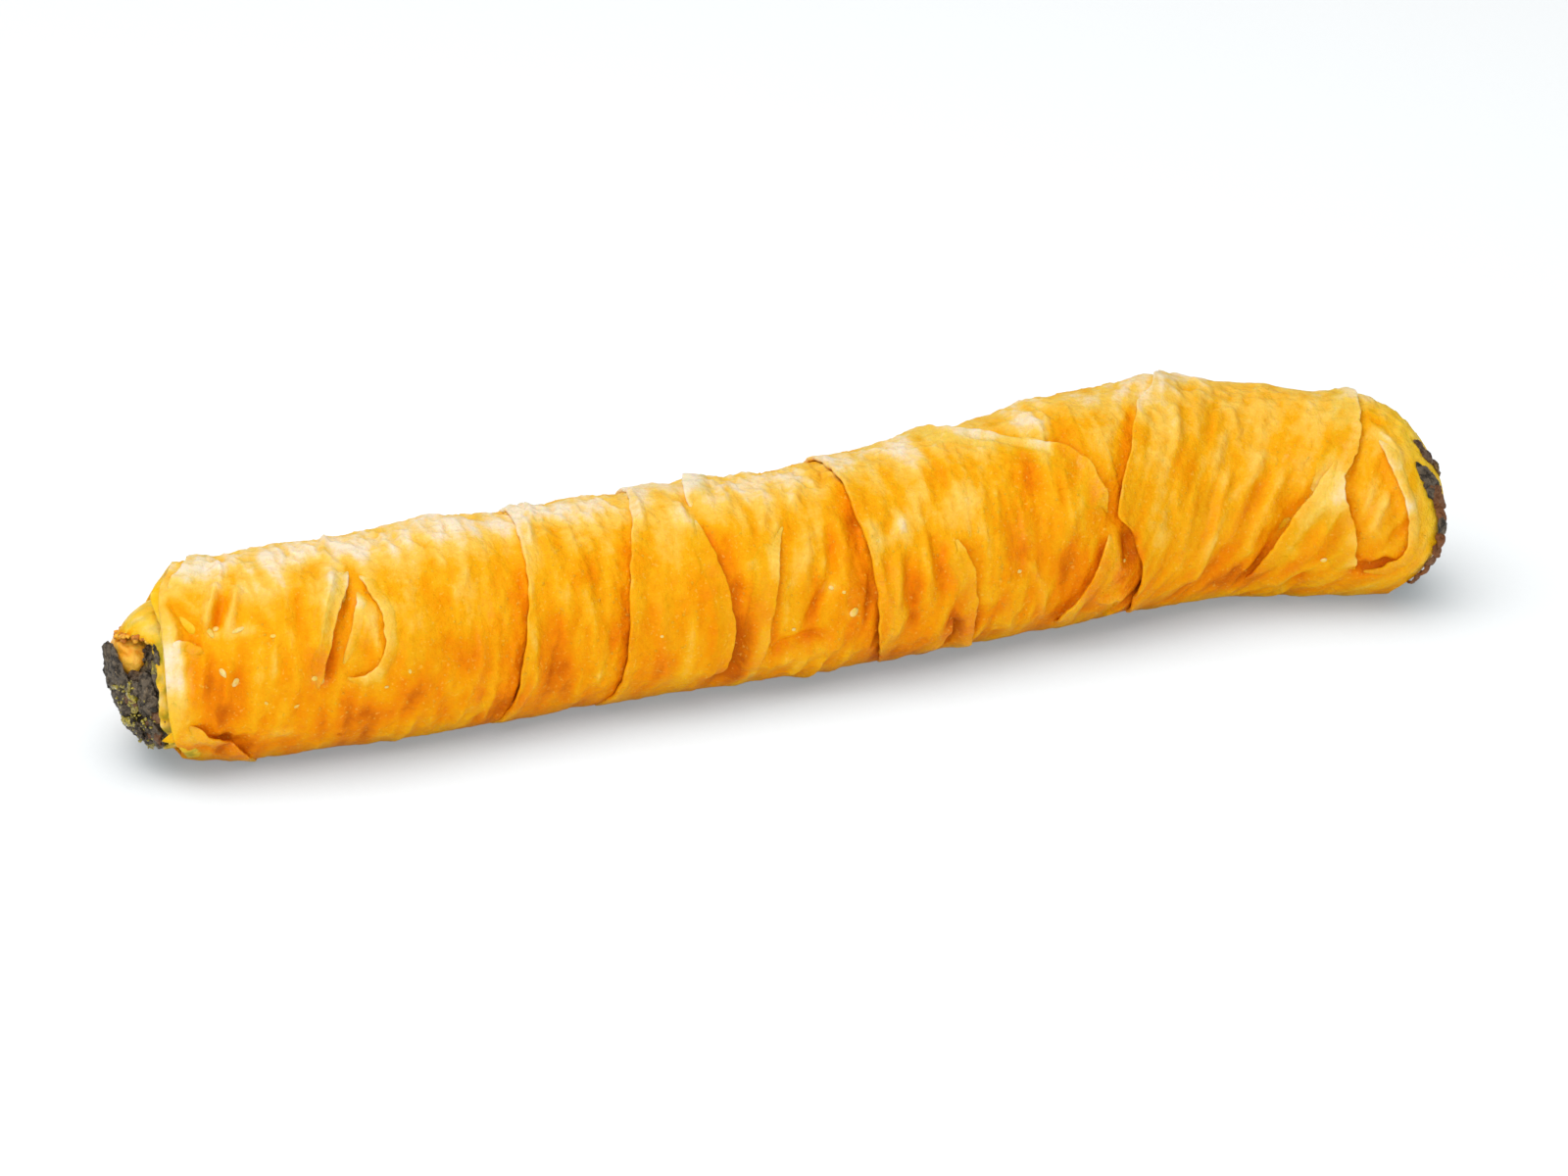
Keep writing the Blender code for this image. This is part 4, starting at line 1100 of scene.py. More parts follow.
def spinach_core(material):
    """The chopped spinach that runs through the roll, lumpy where it stands out of the mouths."""
    degrees = np.arange(0.0, 360.0, CORE_STEP)
    rings = []
    for share in LEFT_SHARES:
        along = left_mound(share, degrees)
        radius = (bore_radius(along) - FIT_GAP - MOUND_DRAW * mouth_draw(degrees)) * share
        rings.append(ring_points(along, degrees, radius, sag=1.0))
    for along in np.linspace(LEFT_RIM + 3, RIGHT_RIM - 3, CORE_RINGS):
        rings.append(ring_points(along + 0 * degrees, degrees, bore_radius(along) - FIT_GAP, sag=1.0))
    for share in RIGHT_SHARES:
        along = right_mound(share) + 0 * degrees
        rings.append(ring_points(along, degrees, (bore_radius(along) - 2 * FIT_GAP) * share, sag=1.0))
    rings = np.stack(rings)
    from_middle = np.abs(rings[..., 0] - 0.5 * (LEFT_RIM + RIGHT_RIM))
    ends = smooth_step(from_middle - 0.5 * (RIGHT_RIM - LEFT_RIM) + 3.0)
    lumps = 0.55 * noise_at(rings, 2.2, 71) + 0.3 * noise_at(rings, 1.0, 72) + 0.12 * noise_at(rings, 0.5, 73)
    rings[..., 0] += np.sign(rings[..., 0]) * ends * lumps
    shares = np.concatenate([LEFT_SHARES, np.ones(CORE_RINGS), RIGHT_SHARES])[:, None]
    under_collar = np.where(rings[..., 0] < 0, bump(-10, 55, degrees), 0.0)
    under_collar = under_collar * smooth_step((shares - 0.25) / 0.2)
    bare = ends * smooth_step((0.9 - shares) / 0.1) * (1 - under_collar)
    looks = {"oily": 0.25 + 0.4 * noise_at(rings, 2.5, 74), "toast": 0 * lumps, "spread": bare}
    return capped_rings("spinach_core", rings[None], material, looks)


# A scrap of leaf: mm between its points, its thickness, and the share of that left at its rim.
LEAF_STEP = 0.2
LEAF_THICKNESS = 0.32
LEAF_RIM_SHARE = 0.35


def slab(top, thickness, looks):
    """A closed thin form, as points, quads and looks: a grid of points, thickened about its middle."""
    normal = np.cross(np.gradient(top, axis=0), np.gradient(top, axis=1))
    normal /= np.linalg.norm(normal, axis=-1)[..., None] + 1e-9
    rows, columns = top.shape[:2]
    index = np.arange(rows * columns).reshape(rows, columns)
    rim = np.concatenate([index[0], index[1:, -1], index[-1, -2::-1], index[-2:0:-1, 0]])
    half = np.full(rows * columns, thickness / 2)
    half[rim] *= LEAF_RIM_SHARE
    moved = normal * half.reshape(rows, columns, 1)
    points = np.concatenate([(top + moved).reshape(-1, 3), (top - moved).reshape(-1, 3)])
    under = rows * columns
    after = np.roll(rim, -1)
    walls = np.stack([rim, after, after + under, rim + under], -1)
    quads = grid_quads(rows, columns)
    faces = np.concatenate([quads[:, ::-1], quads + under, walls])
    return points, faces, {look: np.full(2 * under, value) for look, value in looks.items()}


def joined(name, forms, material):
    """One mesh of several forms of points, quads and looks."""
    counts = [len(points) for points, _, _ in forms]
    starts = np.cumsum(counts) - counts
    points = np.concatenate([points for points, _, _ in forms])
    quads = np.concatenate([quads + start for (_, quads, _), start in zip(forms, starts)])
    looks = {look: np.concatenate([looks[look] for _, _, looks in forms]) for look in forms[0][2]}
    return sheet_mesh(name, points, [quads], material, looks)


def leaf_outline(u, v, seed):
    """The unit square's places drawn in to a lobed outline."""
    a, b = 2 * u - 1, 2 * v - 1
    reach = np.hypot(a, b) + 1e-6
    directions = np.stack([a / reach, b / reach, 0 * a], axis=-1)
    lobes = 1 + 0.28 * noise_at(directions, 0.9, seed + 5) + 0.10 * noise_at(directions, 0.35, seed + 6)
    drawn_a = a * (0.4 + 0.6 * np.sqrt(1 - b * b / 2))
    drawn_b = b * (0.4 + 0.6 * np.sqrt(1 - a * a / 2))
    return 0.5 + 0.5 * lobes * drawn_a, 0.5 + 0.5 * lobes * drawn_b


def leaf(corners, arch, looks, seed):
    """A crumpled scrap of leaf spanned by four (x, y, z) corners, with ragged edges."""
    corners = np.array(corners, float)
    long = max(np.linalg.norm(corners[1] - corners[0]), np.linalg.norm(corners[3] - corners[0]))
    steps = np.linspace(0, 1, int(np.clip(long / LEAF_STEP, 7, 40)))
    u, v = leaf_outline(*np.meshgrid(steps, steps, indexing="ij"), seed)
    u, v = u[..., None], v[..., None]
    flat = (1 - u) * ((1 - v) * corners[0] + v * corners[1]) + u * ((1 - v) * corners[3] + v * corners[2])
    rim = np.clip(np.maximum(np.abs(2 * u - 1), np.abs(2 * v - 1)), 0, 1)
    flat = flat + (flat - flat.mean(axis=(0, 1))) * 0.14 * noise_at(flat, 1.4, seed)[..., None] * rim
    normal = np.cross(corners[3] - corners[0], corners[1] - corners[0])
    normal /= np.linalg.norm(normal)
    crumple = 0.38 * noise_at(flat, 1.5, seed + 1) + 0.10 * noise_at(flat, 0.4, seed + 3)
    crumple = crumple + 0.3 * (0.5 - 1.8 * np.abs(noise_at(flat, 0.9, seed + 2)))
    rise = arch * np.clip(1 - (2 * u - 1) ** 2, 0, 1) * np.clip(1 - (2 * v - 1) ** 2, 0, 1)
    return slab(flat + normal * (rise + crumple[..., None]), LEAF_THICKNESS, looks)


def as_given(x, y, z):
    """A point that is already in its place."""
    return x, y, z


def on_left_mound(y, z, proud):
    """A point this far out of the left mound's surface."""
    sway, height = centre(LEFT_RIM)
    degrees = np.degrees(np.arctan2(sway - y, z - height))
    reach = bore_radius(LEFT_RIM) - FIT_GAP - MOUND_DRAW * mouth_draw(degrees)
    share = np.hypot(y - sway, z - height) / reach
    return float(left_mound(np.clip(share, 0, 1), degrees)) - proud, y, z


def on_right_mound(y, z, proud):
    """A point this far out of the right mound's surface."""
    sway, height = centre(RIGHT_RIM)
    share = np.hypot(y - sway, z - height) / (bore_radius(RIGHT_RIM) - 2 * FIT_GAP)
    return float(right_mound(min(share, 1.0))) + proud, y, z


# Scraps that stand out of the left mouth: corners as (x, y, z), arch, oiliness and browning.
STANDING_LEAVES = [
    ([(-96.0, 12.4, 17.7), (-95.3, 8.9, 18.3), (-93.6, 5.6, 12.6), (-95.6, 13.2, 9.6)], 0.5, 0.0, 0.0),
    ([(-95.7, 12.6, 10.9), (-94.4, 7.4, 12.6), (-94.2, 7.2, 11.5), (-95.5, 12.9, 9.7)], 0.2, 0.9, 0.0),
]

# Scraps of leaf on the left mound: corners as (y, z, mm proud of the mound), arch, oiliness and browning.
LEFT_LEAVES = [
    ([(8.4, 14.4, 0.5), (4.2, 15.2, 0.6), (3.6, 13.2, 0.8), (7.0, 12.4, 0.9)], 0.3, 0.1, 0.1),
    ([(5.0, 19.4, 0.3), (3.6, 18.8, 0.3), (2.2, 16.8, 0.3), (3.2, 16.8, 0.4)], 0.3, 0.10, 0.0),
    ([(4.4, 17.4, 0.7), (3.2, 17.4, 0.6), (2.6, 15.4, 0.6), (3.5, 15.2, 0.7)], 0.25, 0.6, 0.0),
    ([(3.8, 16.6, 0.6), (2.7, 16.5, 0.5), (2.0, 14.0, 0.5), (2.8, 13.8, 0.6)], 0.2, 0.0, 0.0),
    ([(5.4, 15.6, 1.5), (3.4, 15.8, 1.2), (1.6, 9.8, 1.0), (3.8, 9.4, 1.6)], 0.5, 0.0, 0.0),
    ([(6.4, 13.6, 1.5), (5.4, 13.8, 1.5), (5.2, 12.4, 1.6), (6.2, 12.2, 1.6)], 0.2, 0.6, 0.0),
    ([(13.4, 11.4, 0.9), (9.4, 12.2, 1.2), (8.2, 8.0, 1.2), (12.0, 6.8, 0.8)], 0.6, 0.1, 0.0),
    ([(12.2, 7.4, 0.8), (7.8, 8.4, 1.1), (8.4, 4.4, 0.8), (11.6, 4.2, 0.5)], 0.6, 0.1, 0.0),
]

# Heaps of chopped leaf, in the lower front of the left mouth and all over the right one: how many scraps, the
# middle (y, z) and half-sizes of the heap, how far it stands out, and which way its scraps arch.
LEFT_HEAP = {
    "count": 46, "middle": (5.6, 8.6), "half_size": (3.5, 4.9), "proud": 1.0, "outward": 1, "seed": 88,
}
RIGHT_HEAP = {
    "count": 120, "middle": centre(RIGHT_RIM), "half_size": (7.9, 7.9), "proud": 0.6, "outward": -1,
    "seed": 91,
}

# How many beads of oil and cheese lie among each heap's scraps.
LEFT_BEADS = 70
RIGHT_BEADS = 60

# Scraps on the sheet at the right rim: corners as (mm before the rim, degrees, mm proud), arch, oiliness and
# browning.
RIGHT_SCRAPS = [
    ([(5.4, 50, 0.3), (1.8, 51, 0.4), (0.8, 67, 0.4), (4.2, 70, 0.3)], 0.8, 0.05, 0.0),
    ([(4.0, 60, 0.6), (1.4, 57, 0.6), (0.2, 72, 0.5), (2.4, 76, 0.5)], 0.6, 0.15, 0.6),
    ([(2.9, 69, 0.4), (1.2, 67, 0.4), (-0.1, 82, 0.4), (1.6, 85, 0.4)], 0.5, 0.15, 0.8),
    ([(1.9, 78, 0.5), (0.1, 77, 0.6), (-0.2, 88, 0.5), (1.4, 89, 0.5)], 0.3, 0.0, 0.0),
    ([(3.9, 33, 0.3), (2.2, 31, 0.3), (1.0, 43, 0.3), (2.8, 45, 0.3)], 0.3, 0.30, 0.2),
    ([(1.4, 36, 0.2), (0.1, 37, 0.2), (-0.1, 47, 0.2), (0.9, 46, 0.2)], 0.25, 0.5, 0.3),
    ([(1.3, 88, 0.4), (-0.3, 87, 0.4), (-0.4, 97, 0.4), (0.9, 98, 0.5)], 0.4, 0.3, 0.9),
    ([(1.4, 95, 0.5), (-0.1, 95, 0.4), (-0.4, 104, 0.4), (0.8, 105, 0.4)], 0.4, 0.1, 0.7),
    ([(1.3, 103, 0.4), (-0.3, 102, 0.4), (-0.2, 112, 0.4), (0.7, 113, 0.4)], 0.4, 0.0, 0.5),
    ([(1.0, 110, 0.4), (-0.2, 109, 0.4), (-0.3, 119, 0.4), (0.8, 120, 0.4)], 0.4, 0.3, 0.9),
    ([(0.8, 117, 0.35), (-0.1, 116, 0.35), (-0.1, 129, 0.3), (0.6, 128, 0.3)], 0.2, 0.1, 0.6),
]


def surface_point(along, degrees, proud=0.0):
    """A point this far above the sheet."""
    along, degrees = np.array([float(along)]), np.array([float(degrees)])
    height = sheet_fields(turn_under(along[0], degrees[0]), along, degrees)[0]
    return ring_points(along, degrees, girth(along) + height + proud)[0]


def at_right_rim(before, degrees, proud):
    """A point above the sheet, this far before the right rim."""
    return surface_point(float(right_rim_edge(np.array(float(degrees)))) - before, degrees, proud)


def in_the_heap(heap, rng, reach):
    """A random (y, z) place in a heap, and its share of the way out from the middle."""
    share = np.sqrt(rng.uniform(0.0, reach))
    direction = rng.uniform(0.0, 2 * np.pi)
    y = heap["middle"][0] + heap["half_size"][0] * share * np.cos(direction)
    z = heap["middle"][1] + heap["half_size"][1] * share * np.sin(direction)
    return float(y), float(z), share


def heap_scraps(heap):
    """Corners, arch, oiliness and browning of small scraps heaped on a mound."""
    rng = np.random.default_rng(heap["seed"])
    scraps = []
    for _ in range(heap["count"]):
        y, z, share = in_the_heap(heap, rng, 1.0)
        half_long, half_wide = rng.uniform(0.8, 1.7), rng.uniform(0.45, 1.0)
        turned = rng.uniform(0.0, np.pi)
        long = np.array([np.cos(turned), np.sin(turned), 0.0]) * half_long
        wide = np.array([-np.sin(turned), np.cos(turned), 0.0]) * half_wide
        tilt = rng.uniform(-0.5, 0.5, 2)
        middle = np.array([y, z, heap["proud"] * rng.uniform(0.5, 1.5) * (1.3 - 0.8 * share)])
        signs = ((1, 1), (-1, 1), (-1, -1), (1, -1))
        corners = [middle + a * long + b * wide + (0.0, 0.0, a * tilt[0] + b * tilt[1]) for a, b in signs]
        kind = rng.uniform()
        oily = 0.75 if kind < 0.10 else 0.1
        toast = 0.45 if kind > 0.88 else 0.0
        scraps.append((corners, heap["outward"] * rng.uniform(0.2, 0.7), oily, toast))
    return scraps


def leaves(material):
    """The leaves at both mouths, one piece for each kind."""
    kinds = [
        ("standing_leaves", STANDING_LEAVES, as_given, 50),
        ("mouth_leaves", LEFT_LEAVES, on_left_mound, 100),
        ("rim_scraps", RIGHT_SCRAPS, at_right_rim, 300),
        ("leaf_heap", heap_scraps(LEFT_HEAP), on_left_mound, 400),
        ("right_leaf_heap", heap_scraps(RIGHT_HEAP), on_right_mound, 2000),
    ]
    made = []
    for name, scraps, place, seed in kinds:
        forms = []
        for corners, arch, oily, toast in scraps:
            seed += 7
            places = [place(*corner) for corner in corners]
            forms.append(leaf(places, arch, {"oily": oily, "toast": toast}, seed))
        made.append(joined(name, forms, material))
    return made


def oil_beads(name, heap, count, place, seed, material):
    """Beads of golden oil and melted cheese among the leaves of a heap, their golden colour partly painted
    glints.
    """
    ball = unit_ball(30.0, 30.0)
    rng = np.random.default_rng(seed)
    forms = []
    for _ in range(count):
        y, z, _ = in_the_heap(heap, rng, 1.15)
        size = rng.uniform(0.10, 0.30, 3)
        forms.append(np.array(place(y, z, heap["proud"] * rng.uniform(0.9, 1.9))) + ball * size)
    return capped_rings(name, np.stack(forms), material, {"oily": 1.0, "toast": 0.0})


# Browned cheese along the collar's edge: its first and last direction, and how many lumps.
CRUST_FROM = -24.0
CRUST_TO = 34.0
CRUST_COUNT = 26


def cheese_crust(material):
    """Lumps of browned cheese along the collar's edge, over the lump of cheese."""
    ball = unit_ball(24.0, 24.0)
    rng = np.random.default_rng(90)
    forms = []
    for number, direction in enumerate(np.linspace(CRUST_FROM, CRUST_TO, CRUST_COUNT)):
        turned = np.array([direction + rng.uniform(-2.0, 2.0)])
        along = left_collar_edge(turned) + rng.uniform(-0.25, 0.35)
        drawn = bore_radius(along) - mouth_draw(turned) + rng.uniform(-0.5, 0.35)
        uneven = ball * (1 + 0.3 * noise_at(ball + 5.0 * number, 0.8, 92))[..., None]
        forms.append(ring_points(along, turned, drawn, sag=1.0)[0] + uneven * rng.uniform(0.22, 0.5, 3))
    toast = rng.uniform(0.35, 1.0, CRUST_COUNT)[:, None, None]
    return capped_rings("cheese_crust", np.stack(forms), material, {"toast": toast})


def cheese_lump(material):
    """The lump of cheese in its seat, browned along its top."""
    ball = unit_ball(4.0, 5.0)
    boxy = 0.80 + 0.20 / np.abs(ball).max(axis=-1)
    uneven = 1 + 0.10 * noise_at(ball, 0.6, 81) + 0.05 * noise_at(ball, 0.25, 82)
    middle = cheese_middle() + (-0.1, -0.9, -0.5)
    points = middle + 1.15 * ball * (boxy * uneven)[..., None] * CHEESE_HALF_SIZE * (1.2, 1.0, 1.0)
    browned = 0.35 * smooth_step((ball[..., 2] - 0.5) / 0.5) * (1 + noise_at(ball, 0.4, 83))
    return capped_rings("toasted_cheese_lump", points[None], material, {"toast": browned[None]})


# --- Grains -----------------------------------------------------------------------------------------

# Pale crumbs that stick to the sheet: (mm along, degrees, half-length, half-width, degrees turned).
CRUMBS = [
    (-83.6, 71, 0.75, 0.38, 60), (-82.0, 78, 0.7, 0.42, -45), (-80.6, 49, 0.9, 0.3, -15),
    (-84.2, 47, 0.85, 0.4, 75), (-71.6, 81, 0.5, 0.35, 20), (-70.4, 85, 0.55, 0.3, -30),
    (-83.4, 45, 0.6, 0.5, 10), (-76.4, 56, 0.4, 0.25, 0), (4.2, 76, 0.35, 0.3, 0),
    (-1.6, 97, 0.3, 0.25, 0), (7.2, 91, 0.8, 0.7, 0), (80.6, 104, 0.5, 0.4, 0), (5.8, 79, 0.3, 0.22, 30),
    (33.0, 88, 0.35, 0.25, 0), (49.8, 96, 0.3, 0.25, 0), (-78.2, 92, 0.35, 0.2, 40),
    (-61.5, 92, 0.3, 0.2, 0), (-58.3, 84, 0.35, 0.22, 70), (-21.4, 88, 0.25, 0.2, 0),
    (-74.0, 97, 0.4, 0.25, -20),
]


def crumbs(material):
    """Small blunt crumbs, each half sunk in the sheet."""
    ball = unit_ball(18.0, 20.0)
    forms = []
    for k, (along, degrees, length, width, turned) in enumerate(CRUMBS):
        middle = surface_point(along, degrees)
        ahead = surface_point(along + 0.5, degrees) - middle
        around = surface_point(along, degrees + 2.0) - middle
        ahead = ahead / np.linalg.norm(ahead)
        around = around / np.linalg.norm(around)
        out = np.cross(around, ahead)
        turn = math.radians(turned)
        long = math.cos(turn) * ahead + math.sin(turn) * around
        wide = math.sin(turn) * ahead - math.cos(turn) * around
        uneven = ball * (1 + 0.18 * noise_at(ball + 9.0 * k, 0.8, 91))[..., None]
        sides = np.stack([length * long, width * wide, 0.35 * width * out])
        forms.append(middle + 0.05 * out + uneven @ sides)
    return capped_rings("pale_crumbs", np.stack(forms), material, {"toast": 0.2, "sheen": 0.3})


# --- Node graphs ------------------------------------------------------------------------------------

class Wire:
    """A node's output that can take part in sums: values make Math nodes, and vectors Vector Math nodes."""

    def __init__(self, graph, socket):
        self.graph = graph
        self.socket = socket

    def result_of(self, operation, *terms):
        """The result of a Math node, or of a Vector Math node if any term is a vector."""
        vector = any(isinstance(t, Wire) and t.socket.type == "VECTOR" for t in terms)
        kind = "VectorMath" if vector else "Math"
        return self.graph.add(f"ShaderNode{kind}", {"operation": operation}, dict(enumerate(terms)))

    def __add__(self, other):
        return self.result_of("ADD", self, other)

    def __radd__(self, other):
        return self.result_of("ADD", other, self)

    def __sub__(self, other):
        return self.result_of("SUBTRACT", self, other)

    def __rsub__(self, other):
        return self.result_of("SUBTRACT", other, self)

    def __mul__(self, other):
        return self.result_of("MULTIPLY", self, other)

    def __rmul__(self, other):
        return self.result_of("MULTIPLY", other, self)

    def clamped(self):
        """Held between 0 and 1."""
        return self.graph.add("ShaderNodeClamp", {}, {"Value": self})

    def between(self, low, high):
        """0 below low, 1 above high, and smooth in the middle."""
        limits = {"Value": self, "From Min": low, "From Max": high}
        return self.graph.add("ShaderNodeMapRange", {"interpolation_type": "SMOOTHSTEP"}, limits)


class Graph:
    """Adds nodes to a material's or a Geometry Nodes tree."""

    def __init__(self, tree):
        self.tree = tree

    def add(self, kind, settings=None, sockets=None, output=0):
        """A node of this type: its settings first, then each socket's value or link, by name or number."""
        node = self.tree.nodes.new(kind)
        for setting, value in (settings or {}).items():
            if setting == "stops":
                self.set_stops(node.color_ramp, value)
            else:
                setattr(node, setting, value)
        for name, value in (sockets or {}).items():
            if isinstance(value, Wire):
                self.tree.links.new(value.socket, node.inputs[name])
            else:
                node.inputs[name].default_value = value
        return Wire(self, node.outputs[output]) if len(node.outputs) else node

    def set_stops(self, ramp, stops):
        """Gives a colour ramp its (position, colour) stops."""
        while len(ramp.elements) < len(stops):
            ramp.elements.new(0.5)
        for element, (position, colour) in zip(ramp.elements, stops):
            element.position = position
            element.color = (*colour, 1.0)

    def look(self, name):
        """A value that the mesh carries on its vertices."""
        return self.add("ShaderNodeAttribute", {"attribute_name": name}, output="Fac")

    def mix(self, factor, a, b):
        """Colour a turning into colour b."""
        colours = {6: a if isinstance(a, Wire) else (*a, 1.0), 7: b if isinstance(b, Wire) else (*b, 1.0)}
        return self.add("ShaderNodeMix", {"data_type": "RGBA"}, {0: factor, **colours}, output=2)

    def noise(self, place, size, detail=3.0, roughness=0.5, distortion=0.0):
        """Noise from 0 to 1 with features of this size, in metres."""
        return self.add("ShaderNodeTexNoise", {}, {
            "Vector": place, "Scale": 1.0 / size, "Detail": detail, "Roughness": roughness,
            "Distortion": distortion,
        })


def strewing_tree():
    """A Geometry Nodes tree that strews turned copies of an object over a surface, and gives the copies."""
    tree = bpy.data.node_groups.new("strewing", "GeometryNodeTree")
    kinds = {
        "Surface": "Geometry", "Copied": "Object", "Per Square Metre": "Float", "Seed": "Int",
        "Smallest": "Float", "Largest": "Float", "Tilt": "Float", "Finish": "Material",
    }
    for name, kind in kinds.items():
        tree.interface.new_socket(name, in_out="INPUT", socket_type=f"NodeSocket{kind}")
    tree.interface.new_socket("Copies", in_out="OUTPUT", socket_type="NodeSocketGeometry")
    graph = Graph(tree)
    given = {name: graph.add("NodeGroupInput", output=name) for name in kinds}
    spread = graph.add("GeometryNodeInputNamedAttribute", {"data_type": "FLOAT"}, {"Name": "spread"})
    points = graph.add("GeometryNodeDistributePointsOnFaces", {}, {
        "Mesh": given["Surface"], "Density": given["Per Square Metre"] * spread, "Seed": given["Seed"],
    })
    upright = Wire(graph, points.socket.node.outputs["Rotation"])
    limits = graph.add("ShaderNodeCombineXYZ", {}, {"X": given["Tilt"], "Y": given["Tilt"], "Z": math.pi})
    turn = graph.add("FunctionNodeRandomValue", {"data_type": "FLOAT_VECTOR"}, {
        0: limits * (-1.0, -1.0, -1.0), 1: limits, "Seed": given["Seed"],
    })
    turn = graph.add("FunctionNodeEulerToRotation", {}, {"Euler": turn})
    rotation = graph.add("FunctionNodeRotateRotation", {"rotation_space": "LOCAL"}, {
        "Rotation": upright, "Rotate By": turn,
    })
    size = graph.add("FunctionNodeRandomValue", {"data_type": "FLOAT"}, {
        2: given["Smallest"], 3: given["Largest"], "Seed": given["Seed"],
    }, output=1)
    shape = graph.add("GeometryNodeObjectInfo", {}, {"Object": given["Copied"]}, output="Geometry")
    copies = graph.add("GeometryNodeInstanceOnPoints", {}, {
        "Points": points, "Instance": shape, "Rotation": rotation, "Scale": size,
    })
    copies = graph.add("GeometryNodeRealizeInstances", {}, {"Geometry": copies})
    copies = graph.add("GeometryNodeSetMaterial", {}, {"Geometry": copies, "Material": given["Finish"]})
    graph.add("NodeGroupOutput", {}, {"Copies": copies})
    return tree


def strewn(tree, name, surface, values):
    """The copies that the tree strews over a surface, as one plain mesh."""
    piece = bpy.data.objects.new(name, surface.data)
    bpy.context.scene.collection.objects.link(piece)
    modifier = piece.modifiers.new("strewing", "NODES")
    modifier.node_group = tree
    for socket in tree.interface.items_tree:
        if socket.name in values:
            modifier[socket.identifier] = values[socket.name]
    graph = bpy.context.evaluated_depsgraph_get()
    data = bpy.data.meshes.new_from_object(piece.evaluated_get(graph))
    piece.modifiers.clear()
    piece.data = data
    data.name = name
    return piece


def new_material(name):
    """A material with an empty tree, and its graph."""
    made = bpy.data.materials.new(name)
    made.use_nodes = True
    made.node_tree.nodes.clear()
    return made, Graph(made.node_tree)


def finish_material(graph, sockets, bumps):
    """The surface shader, with bumps as (height wire, mm) pairs laid one on another."""
    normal = None
    for height, distance in bumps:
        below = {"Normal": normal} if normal else {}
        normal = graph.add("ShaderNodeBump", {}, {"Height": height, "Distance": distance * MM, **below})
    surface = graph.add("ShaderNodeBsdfPrincipled", {}, {**sockets, "Normal": normal})
    graph.add("ShaderNodeOutputMaterial", {}, {"Surface": surface})


# --- Materials --------------------------------------------------------------------------------------

CREAM = (0.93, 0.76, 0.53)
STRAW = (0.93, 0.57, 0.09)
GOLD = (0.90, 0.415, 0.006)
AMBER = (0.87, 0.32, 0.001)
RUST = (0.84, 0.235, 0.001)
BROWN = (0.60, 0.13, 0.001)
BRIGHT_YELLOW = (0.94, 0.60, 0.012)
OLIVE_STAIN_AND_SHADE = (0.36, 0.30, 0.015)
DARK_LEAF_AND_HOLLOW_SHADE = (0.018, 0.011, 0.005)
GREY_LEAF_AND_SHEEN = (0.125, 0.095, 0.062)
LEAF_VEIN_AND_HIGHLIGHT = (0.34, 0.25, 0.15)
BROWNED_LEAF = (0.26, 0.075, 0.006)
OLIVE_OIL = (0.16, 0.13, 0.006)
GOLDEN_OIL_AND_GLINT = (0.50, 0.38, 0.02)
DEEP_CHEESE = (0.93, 0.36, 0.012)
LIGHT_CHEESE = (0.96, 0.50, 0.05)
BROWNED_CHEESE = (0.52, 0.17, 0.015)
TABLE_WHITE = (0.15, 0.15, 0.15)
TABLE_TOOTH = (0.16, 0.16, 0.16)
TABLE_GLOW = (0.87, 0.96, 1.0, 1.0)
TABLE_GLOW_STRENGTH = 0.29


def pastry_material():
    """Oily baked yufka: cream through gold to brown by how toasted it is, with the painted shade and highlight
    that the toast carries, mottled, blistered and waxy.
    """
    made, graph = new_material("baked_pastry")
    place = graph.add("ShaderNodeTexCoord", output="Object")
    toast = graph.look("toast")
    yellow = graph.look("yellow")
    sheen = graph.look("sheen")
    patches = graph.noise(place, 0.0075, detail=2.0, roughness=0.5, distortion=0.8)
    mottles = graph.noise(place, 0.0024, detail=4.0, roughness=0.6, distortion=0.5)
    freckles = graph.noise(place, 0.0008, detail=3.0, roughness=0.65)
    shade = toast + (patches - 0.5) * 0.22 + (mottles - 0.5) * 0.28 + (freckles - 0.5) * 0.16
    stops = [(0.0, CREAM), (0.24, STRAW), (0.44, GOLD), (0.62, AMBER), (0.80, RUST), (1.0, BROWN)]
    colour = graph.add("ShaderNodeValToRGB", {"stops": stops}, {"Fac": shade.clamped()})
    colour = graph.mix(yellow * 0.55, colour, BRIGHT_YELLOW)
    # Olive: spinach juice stain, and painted shade on the mouths' inner sheets.
    stain = graph.look("stain")
    colour = graph.mix((stain * (0.3 + mottles)).clamped(), colour, OLIVE_STAIN_AND_SHADE)
    blisters = graph.noise(place, 0.0011, detail=2.0)
    grain = graph.noise(place, 0.00035, detail=3.0, roughness=0.6)
    specks = graph.noise(place, 0.0005, detail=1.0).between(0.64, 0.74)
    raised = graph.look("raised")
    colour = graph.mix((specks * 0.35 + raised * 0.18).clamped(), colour, STRAW)
    finish_material(graph, {
        "Base Color": colour, "Roughness": 0.50 - 0.14 * sheen + (mottles - 0.5) * 0.2,
        "Coat Weight": (0.02 + 0.6 * sheen) * freckles.between(0.3, 0.6),
        "Coat Roughness": 0.22, "Specular IOR Level": 0.03, "IOR": 1.42,
        "Subsurface Weight": 0.3, "Subsurface Radius": (1.0, 0.42, 0.06), "Subsurface Scale": 0.0012,
    }, [(blisters, 0.35), (grain, 0.12)])
    return made


